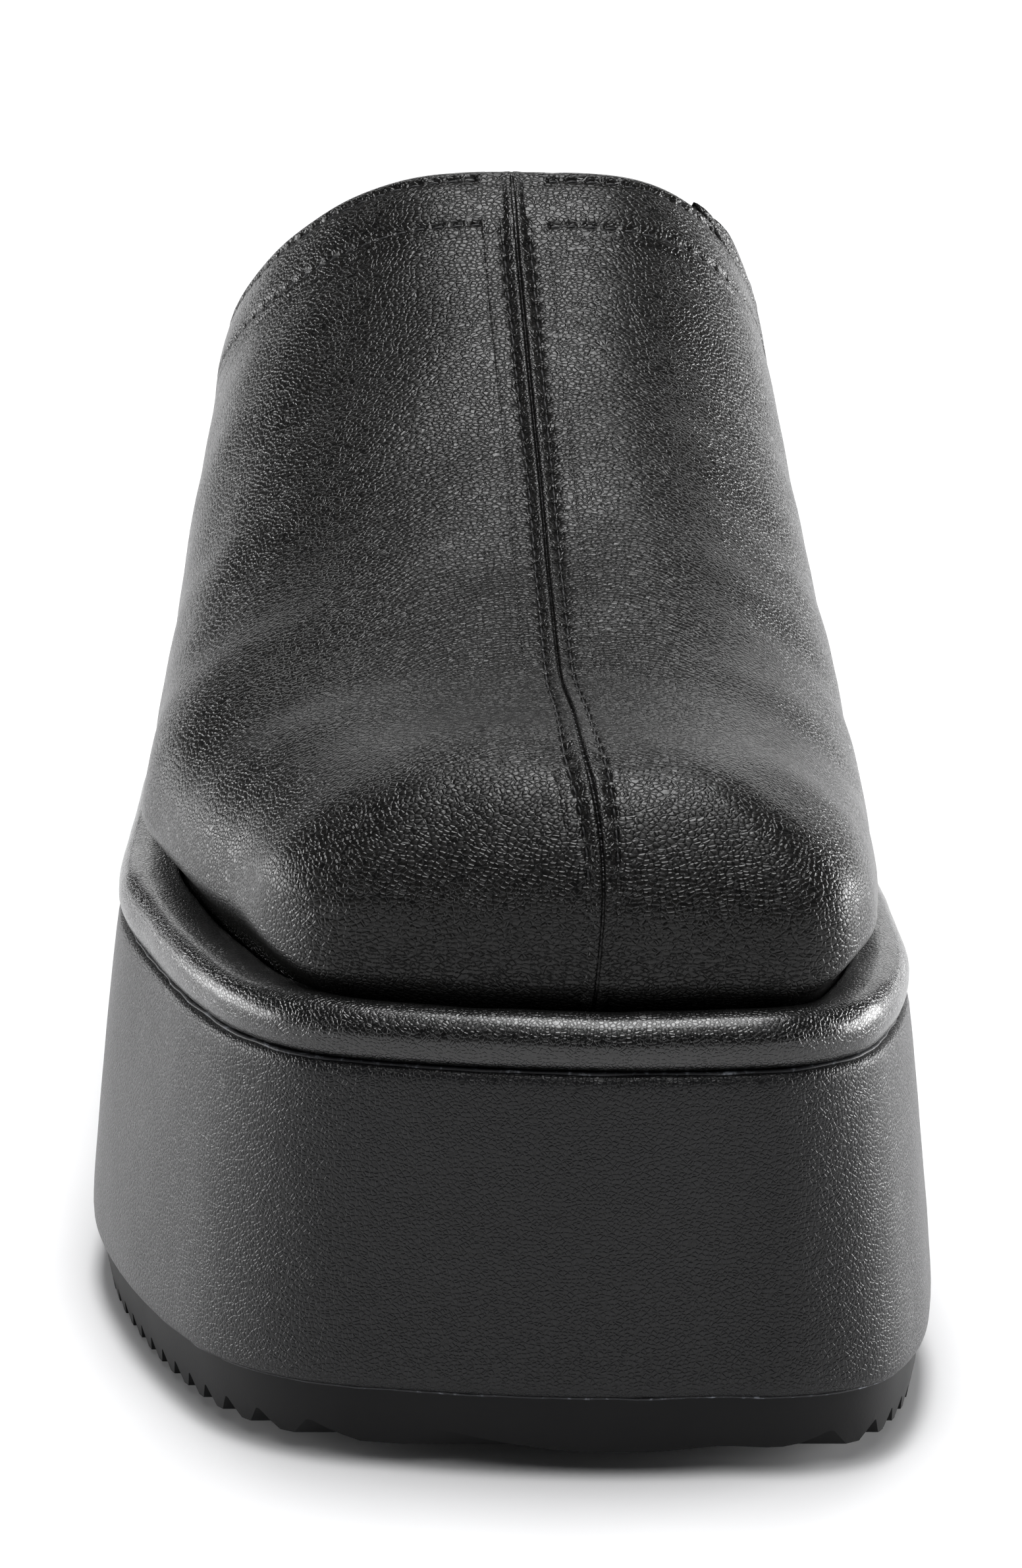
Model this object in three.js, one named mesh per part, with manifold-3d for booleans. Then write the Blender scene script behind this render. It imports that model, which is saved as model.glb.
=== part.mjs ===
// A right-foot platform mule: a closed square-toed upper on a leather-wrapped platform.
// Millimetres, +Z up. The toe points along -Y, and +X is the inner side of the foot.
// While it is modelled, "back" is the distance behind the toe tip and "side" the distance
// from the shoe's axis, so a point is (side, back, height above the floor).
import * as THREE from "three";
import { mergeVertices } from "three/addons/utils/BufferGeometryUtils.js";
import Module from "manifold-3d";

const wasm = await Module();
wasm.setup();

// Driving dimensions.
const shoeLength = 258; // platform's top edge, toe to heel
const ballWidth = 99.8; // platform's top edge, across the ball
const platformHeight = 48.7; // floor to platform's top at the ball
const heelRise = 22; // how much higher the platform's top is at the heel
const deckToeLift = 3.9; // how much higher the platform's top is at the toe tip
const toeSpring = 3.2; // how far the tread's toe tip is off the floor
const springLength = 88; // toe tip to where the sole meets the floor
const instepHeight = 70.4; // platform's top to the upper's outside at the collar's peak
const collarBack = 142; // toe tip to the collar's peak
const upperEndBack = 190; // toe tip to the upper's rear end
const upperWall = 2.3; // leather, lining and stiffener
const clearance = 0.3; // between pieces that touch

const outsoleThickness = 7.7;
const outsoleInset = 0.6; // outsole's edge behind the platform's lower edge
const outsoleDraft = 0.8; // how much narrower the outsole is at the floor
const ridgePitch = 4.6; // tread ridges, toe to heel
const ridgeDepth = 2.2;
const ridgeTip = 1.3; // flat width of a ridge's tip

const wallFlare = 3.2; // how far the platform's foot stands out past its top
const wallFootRound = 0.6; // how far the leather turns under at the foot

const randWidth = 9; // rolled bumper on the platform's edge
const randHeight = 6.9;

const insoleThickness = 5;
const insoleCrown = 1.2; // how much the padded edge drops
const insoleEdge = 5; // width of that padded edge

const toeBoxDepth = 33; // toe tip to the crown of the toe box
const toeBlend = 14; // how softly the ribs spread from the toe box to the ball
const sideSwell = 6; // how far the upper swells out over the rand at the ball
const swellStart = 5.6; // height above the platform's top where the swell starts
const swellFull = 14; // and where it is full

const seamSway = 1.6; // how far the centre line bows to the inner side on the toe's front
const seamReach = 2.9; // half width of the centre seam's two cords
const seamRaise = 0.9;
const seamGroove = 0.35; // half width of the groove between them
const seamRoot = 1.1; // how deep the seam's foot is sunk in the wall

const goreThickness = 1.3;
const goreSink = 0.4; // gore's face below the leather's at the foot of its wedge
const goreStand = 1.3; // and how far it bows out past the leather at the collar
const goreRise = 1.2; // gore's top edge above the collar's edge

// The platform's top edge: one row for each station from toe to heel, with where it lies on
// the outer and the inner side of the foot. back is a share of shoeLength, out of ballWidth.
const edgeStations = [
  { at: "toe tip", outerBack: 0.0, outerOut: -0.0906, innerBack: 0.0, innerOut: 0.0906 },
  { at: "toe front", outerBack: 0.0128, outerOut: 0.11, innerBack: 0.0008, innerOut: 0.242 },
  { at: "corner start", outerBack: 0.0341, outerOut: 0.255, innerBack: 0.0093, innerOut: 0.3575 },
  { at: "corner", outerBack: 0.0678, outerOut: 0.337, innerBack: 0.0333, innerOut: 0.432 },
  { at: "corner end", outerBack: 0.1163, outerOut: 0.396, innerBack: 0.0698, innerOut: 0.4693 },
  { at: "toes", outerBack: 0.1884, outerOut: 0.453, innerBack: 0.1357, innerOut: 0.4955 },
  { at: "ball", outerBack: 0.2674, outerOut: 0.4985, innerBack: 0.217, innerOut: 0.4844 },
  { at: "behind ball", outerBack: 0.3643, outerOut: 0.4894, innerBack: 0.3217, innerOut: 0.4522 },
  { at: "waist", outerBack: 0.4845, outerOut: 0.4562, innerBack: 0.473, innerOut: 0.42 },
  { at: "heel front", outerBack: 0.6589, outerOut: 0.423, innerBack: 0.6589, innerOut: 0.3827 },
  { at: "heel side", outerBack: 0.8217, outerOut: 0.3827, innerBack: 0.814, innerOut: 0.3424 },
  { at: "heel corner", outerBack: 0.9535, outerOut: 0.262, innerBack: 0.9535, innerOut: 0.2316 },
  { at: "heel back", outerBack: 1.0, outerOut: 0.015, innerBack: 1.0, innerOut: -0.015 },
];

// What changes along the edge, at the same stations: the rand's width as a share of
// randWidth, the wall's flare of wallFlare and the upper's swell of sideSwell.
const rimStations = [
  { outerRoll: 1.0, innerRoll: 1.0, outerFlare: 0.2, innerFlare: 0.2, outerSwell: 0.35, innerSwell: 0.35 },
  { outerRoll: 0.98, innerRoll: 1.0, outerFlare: 0.35, innerFlare: 0.1, outerSwell: 0.3, innerSwell: 0.4 },
  { outerRoll: 0.97, innerRoll: 0.95, outerFlare: 0.7, innerFlare: 0.65, outerSwell: 0.22, innerSwell: 0.55 },
  { outerRoll: 1.0, innerRoll: 0.88, outerFlare: 1.05, innerFlare: 1.15, outerSwell: 0.25, innerSwell: 0.75 },
  { outerRoll: 1.0, innerRoll: 0.85, outerFlare: 1.2, innerFlare: 1.15, outerSwell: 0.45, innerSwell: 0.82 },
  { outerRoll: 0.92, innerRoll: 0.82, outerFlare: 1.35, innerFlare: 0.98, outerSwell: 0.95, innerSwell: 0.72 },
  { outerRoll: 0.88, innerRoll: 0.82, outerFlare: 1.15, innerFlare: 1.0, outerSwell: 1.0, innerSwell: 0.9 },
  { outerRoll: 0.88, innerRoll: 0.84, outerFlare: 1.1, innerFlare: 1.0, outerSwell: 0.92, innerSwell: 1.08 },
  { outerRoll: 0.88, innerRoll: 0.86, outerFlare: 1.0, innerFlare: 1.0, outerSwell: 1.05, innerSwell: 0.8 },
  { outerRoll: 0.9, innerRoll: 0.9, outerFlare: 1.0, innerFlare: 1.0, outerSwell: 0.64, innerSwell: 0.38 },
  { outerRoll: 1.0, innerRoll: 1.0, outerFlare: 1.0, innerFlare: 1.0, outerSwell: 0.5, innerSwell: 0.5 },
  { outerRoll: 1.0, innerRoll: 1.0, outerFlare: 1.0, innerFlare: 1.0, outerSwell: 0.5, innerSwell: 0.5 },
  { outerRoll: 1.0, innerRoll: 1.0, outerFlare: 1.0, innerFlare: 1.0, outerSwell: 0.5, innerSwell: 0.5 },
].map((row, i, rows) => ({ ...row, along: i / (rows.length - 1) }));

// The upper's ridge line under the centre seam. back is a share of collarBack, side of
// ballWidth, and rise, above the platform's top, of instepHeight.
const ridgeStations = [
  { back: 0.0, side: 0.079, rise: 0.515 },
  { back: 0.225, side: 0.079, rise: 0.522 },
  { back: 0.35, side: 0.062, rise: 0.54 },
  { back: 0.49, side: 0.05, rise: 0.615 },
  { back: 0.634, side: 0.038, rise: 0.718 },
  { back: 0.775, side: 0.023, rise: 0.824 },
  { back: 0.915, side: 0.008, rise: 0.934 },
  { back: 1.0, side: 0.0, rise: 1.0 },
  { back: 1.2, side: -0.012, rise: 1.15 },
  { back: 1.45, side: -0.012, rise: 1.3 },
];

// The collar's edge from the side. back runs from 0 at the collar's peak to 1 at the upper's
// rear end, and rise, above the platform's top, is a share of instepHeight.
const collarStations = [
  { back: 0.0, rise: 1.0 },
  { back: 0.17, rise: 0.8 },
  { back: 0.38, rise: 0.55 },
  { back: 0.58, rise: 0.33 },
  { back: 0.79, rise: 0.18 },
  { back: 1.0, rise: 0.12 },
];

// How boxy the upper's ribs are, and how they change from the toe to the rear end. back is a
// share of upperEndBack.
const fullnessStations = [
  { back: 0.0, outerPower: 3.3, innerPower: 3.3 },
  { back: 0.07, outerPower: 3.3, innerPower: 3.3 },
  { back: 0.3, outerPower: 2.9, innerPower: 2.9 },
  { back: 0.6, outerPower: 2.8, innerPower: 3.1 },
  { back: 0.75, outerPower: 2.8, innerPower: 3.5 },
  { back: 1.0, outerPower: 3.0, innerPower: 3.5 },
];

// The elastic gore in the inner side of the collar, as a wedge seen from the side. back and
// rise are shares as in collarStations.
const goreCorners = [
  { back: 0.14, rise: 1.1 },
  { back: 0.72, rise: 1.1 },
  { back: 0.66, rise: 0.42 },
  { back: 0.3, rise: 0.25 },
  { back: 0.2, rise: 0.28 },
];

// How finely the forms are divided.
const edgeSteps = 44; // along each side of an outline, toe to heel
const ribsToCollar = 27; // along the upper, toe to collar's peak
const ribsBehindCollar = 12;
const footRises = [0, 5, 7, 9, 12]; // first steps of a rib, in mm above its foot
const ribSteps = 14; // from the upper's foot to its ridge or edge
const seamSteps = 46;
const outer = -1;
const inner = 1;

// A table's value between its rows, on a smooth monotone curve.
function between(rows, key, at, column) {
  const last = rows.length - 1;
  const x = THREE.MathUtils.clamp(at, rows[0][key], rows[last][key]);
  let i = 0;
  while (i < last - 1 && x > rows[i + 1][key]) i += 1;
  const span = (k) => rows[k + 1][key] - rows[k][key];
  const slope = (k) => (rows[k + 1][column] - rows[k][column]) / span(k);
  const tangent = (k) => {
    if (k === 0) return slope(0);
    if (k === last) return slope(last - 1);
    const before = slope(k - 1);
    const after = slope(k);
    return before * after <= 0 ? 0 : (2 * before * after) / (before + after);
  };
  const t = (x - rows[i][key]) / span(i);
  const hermite = {
    from: (1 + 2 * t) * (1 - t) ** 2,
    leaving: t * (1 - t) ** 2,
    to: t * t * (3 - 2 * t),
    arriving: t * t * (t - 1),
  };
  return (
    hermite.from * rows[i][column] +
    hermite.leaving * span(i) * tangent(i) +
    hermite.to * rows[i + 1][column] +
    hermite.arriving * span(i) * tangent(i + 1)
  );
}

// Heights above the floor at a distance behind the toe tip.
const springRise = (back) => Math.max(0, 1 - back / springLength) ** 2;
const treadHeight = (back) => toeSpring * springRise(back);
const pitchStart = 0.29;
const pitchEnd = 0.91;
const pitchRise = (back) => THREE.MathUtils.smoothstep(back / shoeLength, pitchStart, pitchEnd);
function deckHeight(back) {
  return platformHeight + deckToeLift * springRise(back) + heelRise * pitchRise(back);
}

// The platform's top edge as one closed curve, and a point on it on either side of the foot.
// along runs from 0 at the toe tip to 1 at the middle of the heel.
function edgeCurve() {
  const place = (hand, out, back) => new THREE.Vector3(hand * out * ballWidth, back * shoeLength, 0);
  const outerPoints = edgeStations.map((row) => place(outer, row.outerOut, row.outerBack));
  const innerPoints = edgeStations.slice(1, -1).map((row) => place(inner, row.innerOut, row.innerBack));
  return new THREE.CatmullRomCurve3([...outerPoints, ...innerPoints.reverse()], true, "centripetal");
}
const edge = edgeCurve();

// inset moves the point inwards, square to the edge. Below 0 it moves outwards.
function edgePoint(hand, along, inset) {
  const turn = hand === outer ? along / 2 : 1 - along / 2;
  const at = ((turn % 1) + 1) % 1;
  const point = edge.getPoint(at);
  const tangent = edge.getTangent(at);
  return new THREE.Vector2(point.x + tangent.y * inset, point.y - tangent.x * inset);
}

// What changes along the edge, on either side of the foot.
function rimValue(hand, along, name) {
  return between(rimStations, "along", along, (hand === outer ? "outer" : "inner") + name);
}
const rollWidth = (hand, along) => randWidth * rimValue(hand, along, "Roll");

// The whole outline as [hand, along] pairs: toe to heel on the inner side, then back to the
// toe on the outer one. The table's rows are closer at the toe, and so are these.
const edgeRun = Array.from({ length: edgeSteps + 1 }, (_, i) => i / edgeSteps);
const edgeRound = [
  ...edgeRun.map((along) => [inner, along]),
  ...edgeRun.slice(1, -1).reverse().map((along) => [outer, along]),
];

// A closed solid from its points and triangles.
function solidFrom(points, triangles) {
  const geometry = new THREE.BufferGeometry();
  geometry.setAttribute("position", new THREE.Float32BufferAttribute(points.flatMap((p) => [p.x, p.y, p.z]), 3));
  geometry.setIndex(triangles);
  return solidOf(geometry);
}

function solidOf(geometry) {
  const bare = geometry.clone();
  bare.deleteAttribute("normal");
  bare.deleteAttribute("uv");
  const merged = mergeVertices(bare, 1e-4);
  const triVerts = new Uint32Array(merged.index.array);
  const corners = [];
  for (let i = 0; i < triVerts.length; i += 3) {
    const [a, b, c] = triVerts.slice(i, i + 3);
    if (a !== b && b !== c && c !== a) corners.push(a, b, c);
  }
  const vertProperties = new Float32Array(merged.attributes.position.array);
  return new wasm.Manifold(
    new wasm.Mesh({ numProp: 3, vertProperties, triVerts: new Uint32Array(corners) }),
  );
}

// Rings of points, each the same number, skinned one to the next. A ring is closed round.
function skinRings(rings, closed) {
  const points = rings.flat();
  const count = rings[0].length;
  const triangles = [];
  const bands = closed ? rings.length : rings.length - 1;
  for (let r = 0; r < bands; r += 1) {
    for (let k = 0; k < count; k += 1) {
      const a = r * count + k;
      const b = r * count + ((k + 1) % count);
      const c = ((r + 1) % rings.length) * count + ((k + 1) % count);
      const d = ((r + 1) % rings.length) * count + k;
      triangles.push(a, b, c, a, c, d);
    }
  }
  return { points, triangles };
}

// Closes the first or last ring of an outline with strips from the inner to the outer side.
function capStrips(triangles, start, upwards) {
  const count = edgeRound.length;
  const opposite = (i) => start + ((count - i) % count);
  const add = (a, b, c) => (upwards ? triangles.push(a, b, c) : triangles.push(a, c, b));
  for (let i = 0; i < edgeSteps; i += 1) {
    const [a, b] = [start + i, start + i + 1];
    const [c, d] = [opposite(i + 1), opposite(i)];
    if (i > 0) add(a, b, d);
    if (i < edgeSteps - 1) add(b, c, d);
  }
}

// A solid whose sides follow the outline: each level has an inset and a height function.
function outlineSolid(levels) {
  const rings = levels.map(({ inset, height }) =>
    edgeRound.map(([hand, along]) => {
      const p = edgePoint(hand, along, typeof inset === "function" ? inset(hand, along) : inset);
      return new THREE.Vector3(p.x, p.y, height(p.y));
    }),
  );
  const { points, triangles } = skinRings(rings, false);
  capStrips(triangles, 0, false);
  capStrips(triangles, (levels.length - 1) * edgeRound.length, true);
  return solidFrom(points, triangles);
}

// The heights where the outsole meets the platform.
const platformFoot = (back) => treadHeight(back) + outsoleThickness;

// The platform: a cork and foam block wrapped in leather, wider at its foot, where the
// leather turns under.
function makePlatform() {
  const wallRows = [
    { up: 0.0, flare: 1.0, turnedIn: 1.0 },
    { up: 0.02, flare: 1.0, turnedIn: 0.3 },
    { up: 0.05, flare: 1.0, turnedIn: 0.0 },
    { up: 0.25, flare: 0.86, turnedIn: 0.0 },
    { up: 0.5, flare: 0.6, turnedIn: 0.0 },
    { up: 0.8, flare: 0.25, turnedIn: 0.0 },
    { up: 0.97, flare: 0.03, turnedIn: 0.0 },
    { up: 1.0, flare: 0.0, turnedIn: 0.8 },
  ];
  return outlineSolid(
    wallRows.map(({ up, flare, turnedIn }) => ({
      inset: (hand, along) => turnedIn * wallFootRound - flare * wallFlare * rimValue(hand, along, "Flare"),
      height: (back) => THREE.MathUtils.lerp(platformFoot(back), deckHeight(back), up),
    })),
  );
}

// The outsole: the outline's prism, cut to a side profile that has the spring and ridges.
function makeOutsole() {
  const footInset = (hand, along) =>
    wallFootRound + outsoleInset - wallFlare * rimValue(hand, along, "Flare");
  const spare = 5;
  const prism = outlineSolid([
    { inset: (...at) => footInset(...at) + outsoleDraft, height: () => -spare },
    { inset: footInset, height: () => toeSpring + outsoleThickness + spare },
  ]);
  const profile = new THREE.Shape();
  const start = -wallFlare - spare;
  const end = shoeLength + wallFlare + spare;
  const top = (back) => platformFoot(back) - clearance;
  profile.moveTo(start, top(start));
  profile.lineTo(start, treadHeight(start) + ridgeDepth);
  const flank = (ridgePitch - ridgeTip) / 2;
  for (let back = 0; back < end - ridgePitch; back += ridgePitch) {
    profile.lineTo(back, treadHeight(back) + ridgeDepth);
    profile.lineTo(back + flank, treadHeight(back + flank));
    profile.lineTo(back + flank + ridgeTip, treadHeight(back + flank + ridgeTip));
  }
  profile.lineTo(end, ridgeDepth);
  profile.lineTo(end, top(end));
  const topSteps = 24;
  for (let i = topSteps; i >= 0; i -= 1) {
    const back = (springLength * i) / topSteps;
    profile.lineTo(back, top(back));
  }
  const slab = new THREE.ExtrudeGeometry(profile, { depth: 2 * ballWidth, bevelEnabled: false, steps: 1 });
  // The shape lies in a plane of back and height: stand it up, across the shoe.
  const standing = new THREE.Matrix4().set(0, 0, 1, -ballWidth, 1, 0, 0, 0, 0, 1, 0, 0, 0, 0, 0, 1);
  slab.applyMatrix4(standing);
  return prism.intersect(solidOf(slab));
}

// The rand: a padded leather roll that lies on the platform's edge all the way round.
function makeRand() {
  const rollRows = [
    { in: 0.3, up: 0.0 },
    { in: 1.0, up: 0.0 },
    { in: 1.0, up: 0.8 },
    { in: 0.84, up: 0.9 },
    { in: 0.66, up: 0.97 },
    { in: 0.48, up: 1.0 },
    { in: 0.3, up: 0.98 },
    { in: 0.13, up: 0.85 },
    { in: 0.02, up: 0.6 },
    { in: 0.01, up: 0.3 },
    { in: 0.1, up: 0.06 },
  ];
  const sections = edgeRound.map(([hand, along]) =>
    rollRows.map((row) => {
      const p = edgePoint(hand, along, row.in * rollWidth(hand, along));
      return new THREE.Vector3(p.x, p.y, deckHeight(p.y) + clearance + row.up * randHeight);
    }),
  );
  const { points, triangles } = skinRings(sections, true);
  return solidFrom(points, triangles);
}

// The upper's foot lies just inside the rand.
const upperInset = (hand, along) => rollWidth(hand, along) + clearance;

// The insole: a padded sock that fills the inside of the upper and, behind it, the rand.
function makeInsole() {
  const inset = (hand, along) => {
    const behind = edgePoint(hand, along, 0).y - upperEndBack;
    const free = THREE.MathUtils.smoothstep(behind, 1.5 * upperWall, 5 * upperWall);
    return upperInset(hand, along) + (1 - free) * (upperWall + clearance);
  };
  const floor = (back) => deckHeight(back) + clearance;
  const rings = [
    { pull: 0, up: 0 },
    { pull: 0, up: insoleThickness - insoleCrown },
    { pull: 0.35, up: insoleThickness - 0.3 * insoleCrown },
    { pull: 1, up: insoleThickness },
  ].map(({ pull, up }) =>
    edgeRound.map(([hand, along]) => {
      const p = edgePoint(hand, along, inset(hand, along));
      const across = edgePoint(-hand, along, inset(-hand, along));
      const middle = new THREE.Vector2().addVectors(p, across).multiplyScalar(0.5);
      const toMiddle = middle.clone().sub(p);
      const share = Math.min(0.5, (pull * insoleEdge) / Math.max(toMiddle.length(), insoleEdge));
      p.addScaledVector(toMiddle, share);
      return new THREE.Vector3(p.x, p.y, floor(p.y) + up);
    }),
  );
  const { points, triangles } = skinRings(rings, false);
  capStrips(triangles, 0, false);
  capStrips(triangles, (rings.length - 1) * edgeRound.length, true);
  return solidFrom(points, triangles);
}

// The upper's ridge line: its side and height at a distance behind the toe tip.
const ridgeSide = (back) => between(ridgeStations, "back", back / collarBack, "side") * ballWidth;
function ridgeHeight(back, sink) {
  const rise = between(ridgeStations, "back", back / collarBack, "rise") * instepHeight;
  return deckHeight(back) + rise - sink;
}

// Where the rib that starts at a station of the edge meets the ridge line: at the toe box's
// crown for the toe's own ribs, and level with the station further back.
function ribBack(along) {
  const outerBack = edgePoint(outer, along, upperInset(outer, along)).y;
  const innerBack = edgePoint(inner, along, upperInset(inner, along)).y;
  const past = (outerBack + innerBack) / 2 - toeBoxDepth;
  return toeBoxDepth + (past + Math.hypot(past, toeBlend)) / 2;
}

// The station whose rib meets the ridge line at a given distance behind the toe tip.
function stationAt(measure, target) {
  let [low, high] = [0, 1];
  for (let i = 0; i < 40; i += 1) {
    const middle = (low + high) / 2;
    if (measure(middle) < target) low = middle;
    else high = middle;
  }
  return (low + high) / 2;
}

// A point of the upper's surface, or of one sunk below it. turn runs from 0 at the foot to a
// quarter circle at the ridge. The rib is a quarter of a boxy ellipse that swells at its foot.
function upperPoint(hand, along, turn, sink) {
  const foot = edgePoint(hand, along, upperInset(hand, along) + sink);
  const meet = ribBack(along);
  const ridge = new THREE.Vector2(ridgeSide(meet), meet);
  const base = deckHeight(foot.y) + clearance;
  const length = foot.y / upperEndBack;
  const power = between(fullnessStations, "back", length, hand === outer ? "outerPower" : "innerPower");
  const [c, s] = [Math.max(0, Math.cos(turn)), Math.sin(turn)];
  const size = (c ** power + s ** power) ** (-1 / power);
  const up = size * s;
  const rise = (ridgeHeight(meet, sink) - base) * up;
  const fade = 1 - THREE.MathUtils.smoothstep(up, 0.5, 1);
  const swell = THREE.MathUtils.smoothstep(rise, swellStart, swellFull) * fade * sideSwell;
  const span = foot.clone().sub(ridge);
  const reach = size * c + (swell * rimValue(hand, along, "Swell")) / span.length();
  const onToe = 1 - THREE.MathUtils.smoothstep(meet, toeBoxDepth, toeBoxDepth + 15);
  const sway = seamSway * onToe * 6.75 * up * up * (1 - up);
  const plan = ridge.addScaledVector(span, reach);
  return new THREE.Vector3(plan.x + sway, plan.y, base + rise);
}

// The collar's edge: the height that the upper reaches at a distance behind the toe tip.
const collarShare = (back) => (back - collarBack) / (upperEndBack - collarBack);
function collarHeight(back, lift) {
  const rise = between(collarStations, "back", collarShare(back), "rise");
  return deckHeight(back) + rise * instepHeight + lift;
}

// How far up a rib behind the collar's peak the collar's edge cuts it.
function collarTurn(hand, along, sink, lift) {
  let [low, high] = [0, Math.PI / 2];
  for (let i = 0; i < 40; i += 1) {
    const middle = (low + high) / 2;
    const p = upperPoint(hand, along, middle, sink(hand, along, middle));
    if (p.z < collarHeight(p.y, lift)) low = middle;
    else high = middle;
  }
  return (low + high) / 2;
}

// The steps up a rib: close together where it leaves the rand, then even up to its end.
function ribTurns(hand, along, end) {
  const foot = upperPoint(hand, along, 0, 0).z;
  const height = upperPoint(hand, along, Math.PI / 2, 0).z - foot;
  const fit = Math.min(1, (upperPoint(hand, along, end, 0).z - foot) / 24);
  const turns = footRises.map((rise) => Math.atan((rise * fit) / height));
  const from = turns[turns.length - 1];
  const left = ribSteps - turns.length + 1;
  for (let i = 1; i <= left; i += 1) turns.push(from + ((end - from) * i) / left);
  return turns;
}

// A hollow shell between two depths below the upper's surface, open underneath and at the
// collar. A depth is a function of where it is measured.
function upperShell(shallow, deep, lift) {
  const peak = stationAt(ribBack, collarBack);
  const rear = stationAt((along) => edgePoint(inner, along, upperInset(inner, along)).y, upperEndBack);
  const stations = [];
  for (let i = 0; i <= ribsToCollar; i += 1) stations.push((peak * i) / ribsToCollar);
  // The collar's edge turns down fastest at its peak, so the ribs are closest there.
  for (let i = 1; i <= ribsBehindCollar; i += 1) {
    stations.push(peak + (rear - peak) * (i / ribsBehindCollar) ** 2);
  }
  const points = [];
  const addSheet = (hand, sink) =>
    stations.map((along, i) => {
      const top = i <= ribsToCollar ? Math.PI / 2 : collarTurn(hand, along, sink, lift);
      return ribTurns(hand, along, top).map((turn) => {
        points.push(upperPoint(hand, along, turn, sink(hand, along, turn)));
        return points.length - 1;
      });
    });
  const triangles = [];
  const quad = (a, b, c, d, turned) => {
    if (turned) triangles.push(a, c, b, a, d, c);
    else triangles.push(a, b, c, a, c, d);
  };
  for (const hand of [outer, inner]) {
    const outside = addSheet(hand, shallow);
    const inside = addSheet(hand, deep);
    const turned = hand === inner;
    const last = stations.length - 1;
    for (let i = 0; i < last; i += 1) {
      for (let j = 0; j < ribSteps; j += 1) {
        quad(outside[i][j], outside[i][j + 1], outside[i + 1][j + 1], outside[i + 1][j], turned);
        quad(inside[i][j], inside[i][j + 1], inside[i + 1][j + 1], inside[i + 1][j], !turned);
      }
      quad(outside[i][0], outside[i + 1][0], inside[i + 1][0], inside[i][0], turned);
      if (i >= ribsToCollar) {
        const [a, b] = [outside[i][ribSteps], outside[i + 1][ribSteps]];
        quad(a, b, inside[i + 1][ribSteps], inside[i][ribSteps], !turned);
      }
    }
    for (let j = 0; j < ribSteps; j += 1) {
      quad(outside[last][j], outside[last][j + 1], inside[last][j + 1], inside[last][j], turned);
    }
  }
  return solidFrom(points, triangles);
}

// The centre seam's line on the upper's surface, from the toe's foot up over the toe box and
// along the ridge to the collar.
function seamLine() {
  const line = [];
  const upToeFront = 14;
  const from = ribBack(0);
  const foot = upperPoint(outer, 0, 0, 0).z;
  const start = Math.atan((randHeight + clearance) / (ridgeHeight(from, 0) - foot));
  for (let i = 0; i <= upToeFront; i += 1) {
    line.push(upperPoint(outer, 0, start + ((Math.PI / 2 - start) * i) / upToeFront, 0));
  }
  const alongRidge = seamSteps - upToeFront;
  for (let i = 1; i <= alongRidge; i += 1) {
    const back = from + ((collarBack + 1 - from) * i) / alongRidge;
    line.push(new THREE.Vector3(ridgeSide(back), back, ridgeHeight(back, 0)));
  }
  return line;
}

// Two raised cords side by side along the seam line, with a groove between them.
function makeSeam() {
  const crest = (seamReach + seamGroove) / 2;
  const seamRows = [
    { out: -seamReach, up: -seamRoot },
    { out: -seamReach, up: 0.25 * seamRaise },
    { out: -crest, up: seamRaise },
    { out: -seamGroove, up: 0.35 * seamRaise },
    { out: seamGroove, up: 0.35 * seamRaise },
    { out: crest, up: seamRaise },
    { out: seamReach, up: 0.25 * seamRaise },
    { out: seamReach, up: -seamRoot },
  ];
  const line = seamLine();
  const sections = line.map((point, i) => {
    const before = line[Math.max(0, i - 1)];
    const after = line[Math.min(line.length - 1, i + 1)];
    const forward = after.clone().sub(before).normalize();
    const level = point.y < toeBoxDepth ? 0 : forward.x / forward.y;
    const across = new THREE.Vector3(1, -level, 0).normalize();
    const up = new THREE.Vector3().crossVectors(across, forward).normalize();
    const nearCollar = THREE.MathUtils.smoothstep(point.y, collarBack - 40, collarBack);
    const width = 1 - 0.2 * nearCollar;
    const raise = (row) => (row.up > 0 ? row.up * (1 - 0.5 * nearCollar) : row.up);
    return seamRows.map((row) =>
      point.clone().addScaledVector(across, row.out * width).addScaledVector(up, raise(row)),
    );
  });
  const { points, triangles } = skinRings(sections, false);
  const count = seamRows.length;
  const last = (sections.length - 1) * count;
  for (let k = 1; k < count - 1; k += 1) {
    triangles.push(0, k + 1, k);
    triangles.push(last, last + k, last + k + 1);
  }
  return solidFrom(points, triangles);
}

// The gore's wedge as a prism through the inner side only, grown or shrunk all round.
function goreWedge(grow) {
  const corners = goreCorners.map(({ back, rise }) => {
    const at = collarBack + back * (upperEndBack - collarBack);
    return new THREE.Vector2(at, deckHeight(at) + rise * instepHeight);
  });
  const centre = corners.reduce((sum, p) => sum.add(p), new THREE.Vector2()).divideScalar(corners.length);
  const shape = new THREE.Shape(
    corners.map((p) => {
      const away = p.clone().sub(centre);
      return p.clone().addScaledVector(away.normalize(), grow);
    }),
  );
  const prism = new THREE.ExtrudeGeometry(shape, { depth: ballWidth, bevelEnabled: false });
  // Its profile is back and height: stand it up, out to the inner side.
  prism.applyMatrix4(new THREE.Matrix4().set(0, 0, 1, 1, 1, 0, 0, 0, 0, 1, 0, 0, 0, 0, 0, 1));
  return solidOf(prism);
}

function makeUpper() {
  const shell = upperShell(() => 0, () => upperWall, 0);
  return shell.add(makeSeam()).subtract(goreWedge(0));
}

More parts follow.
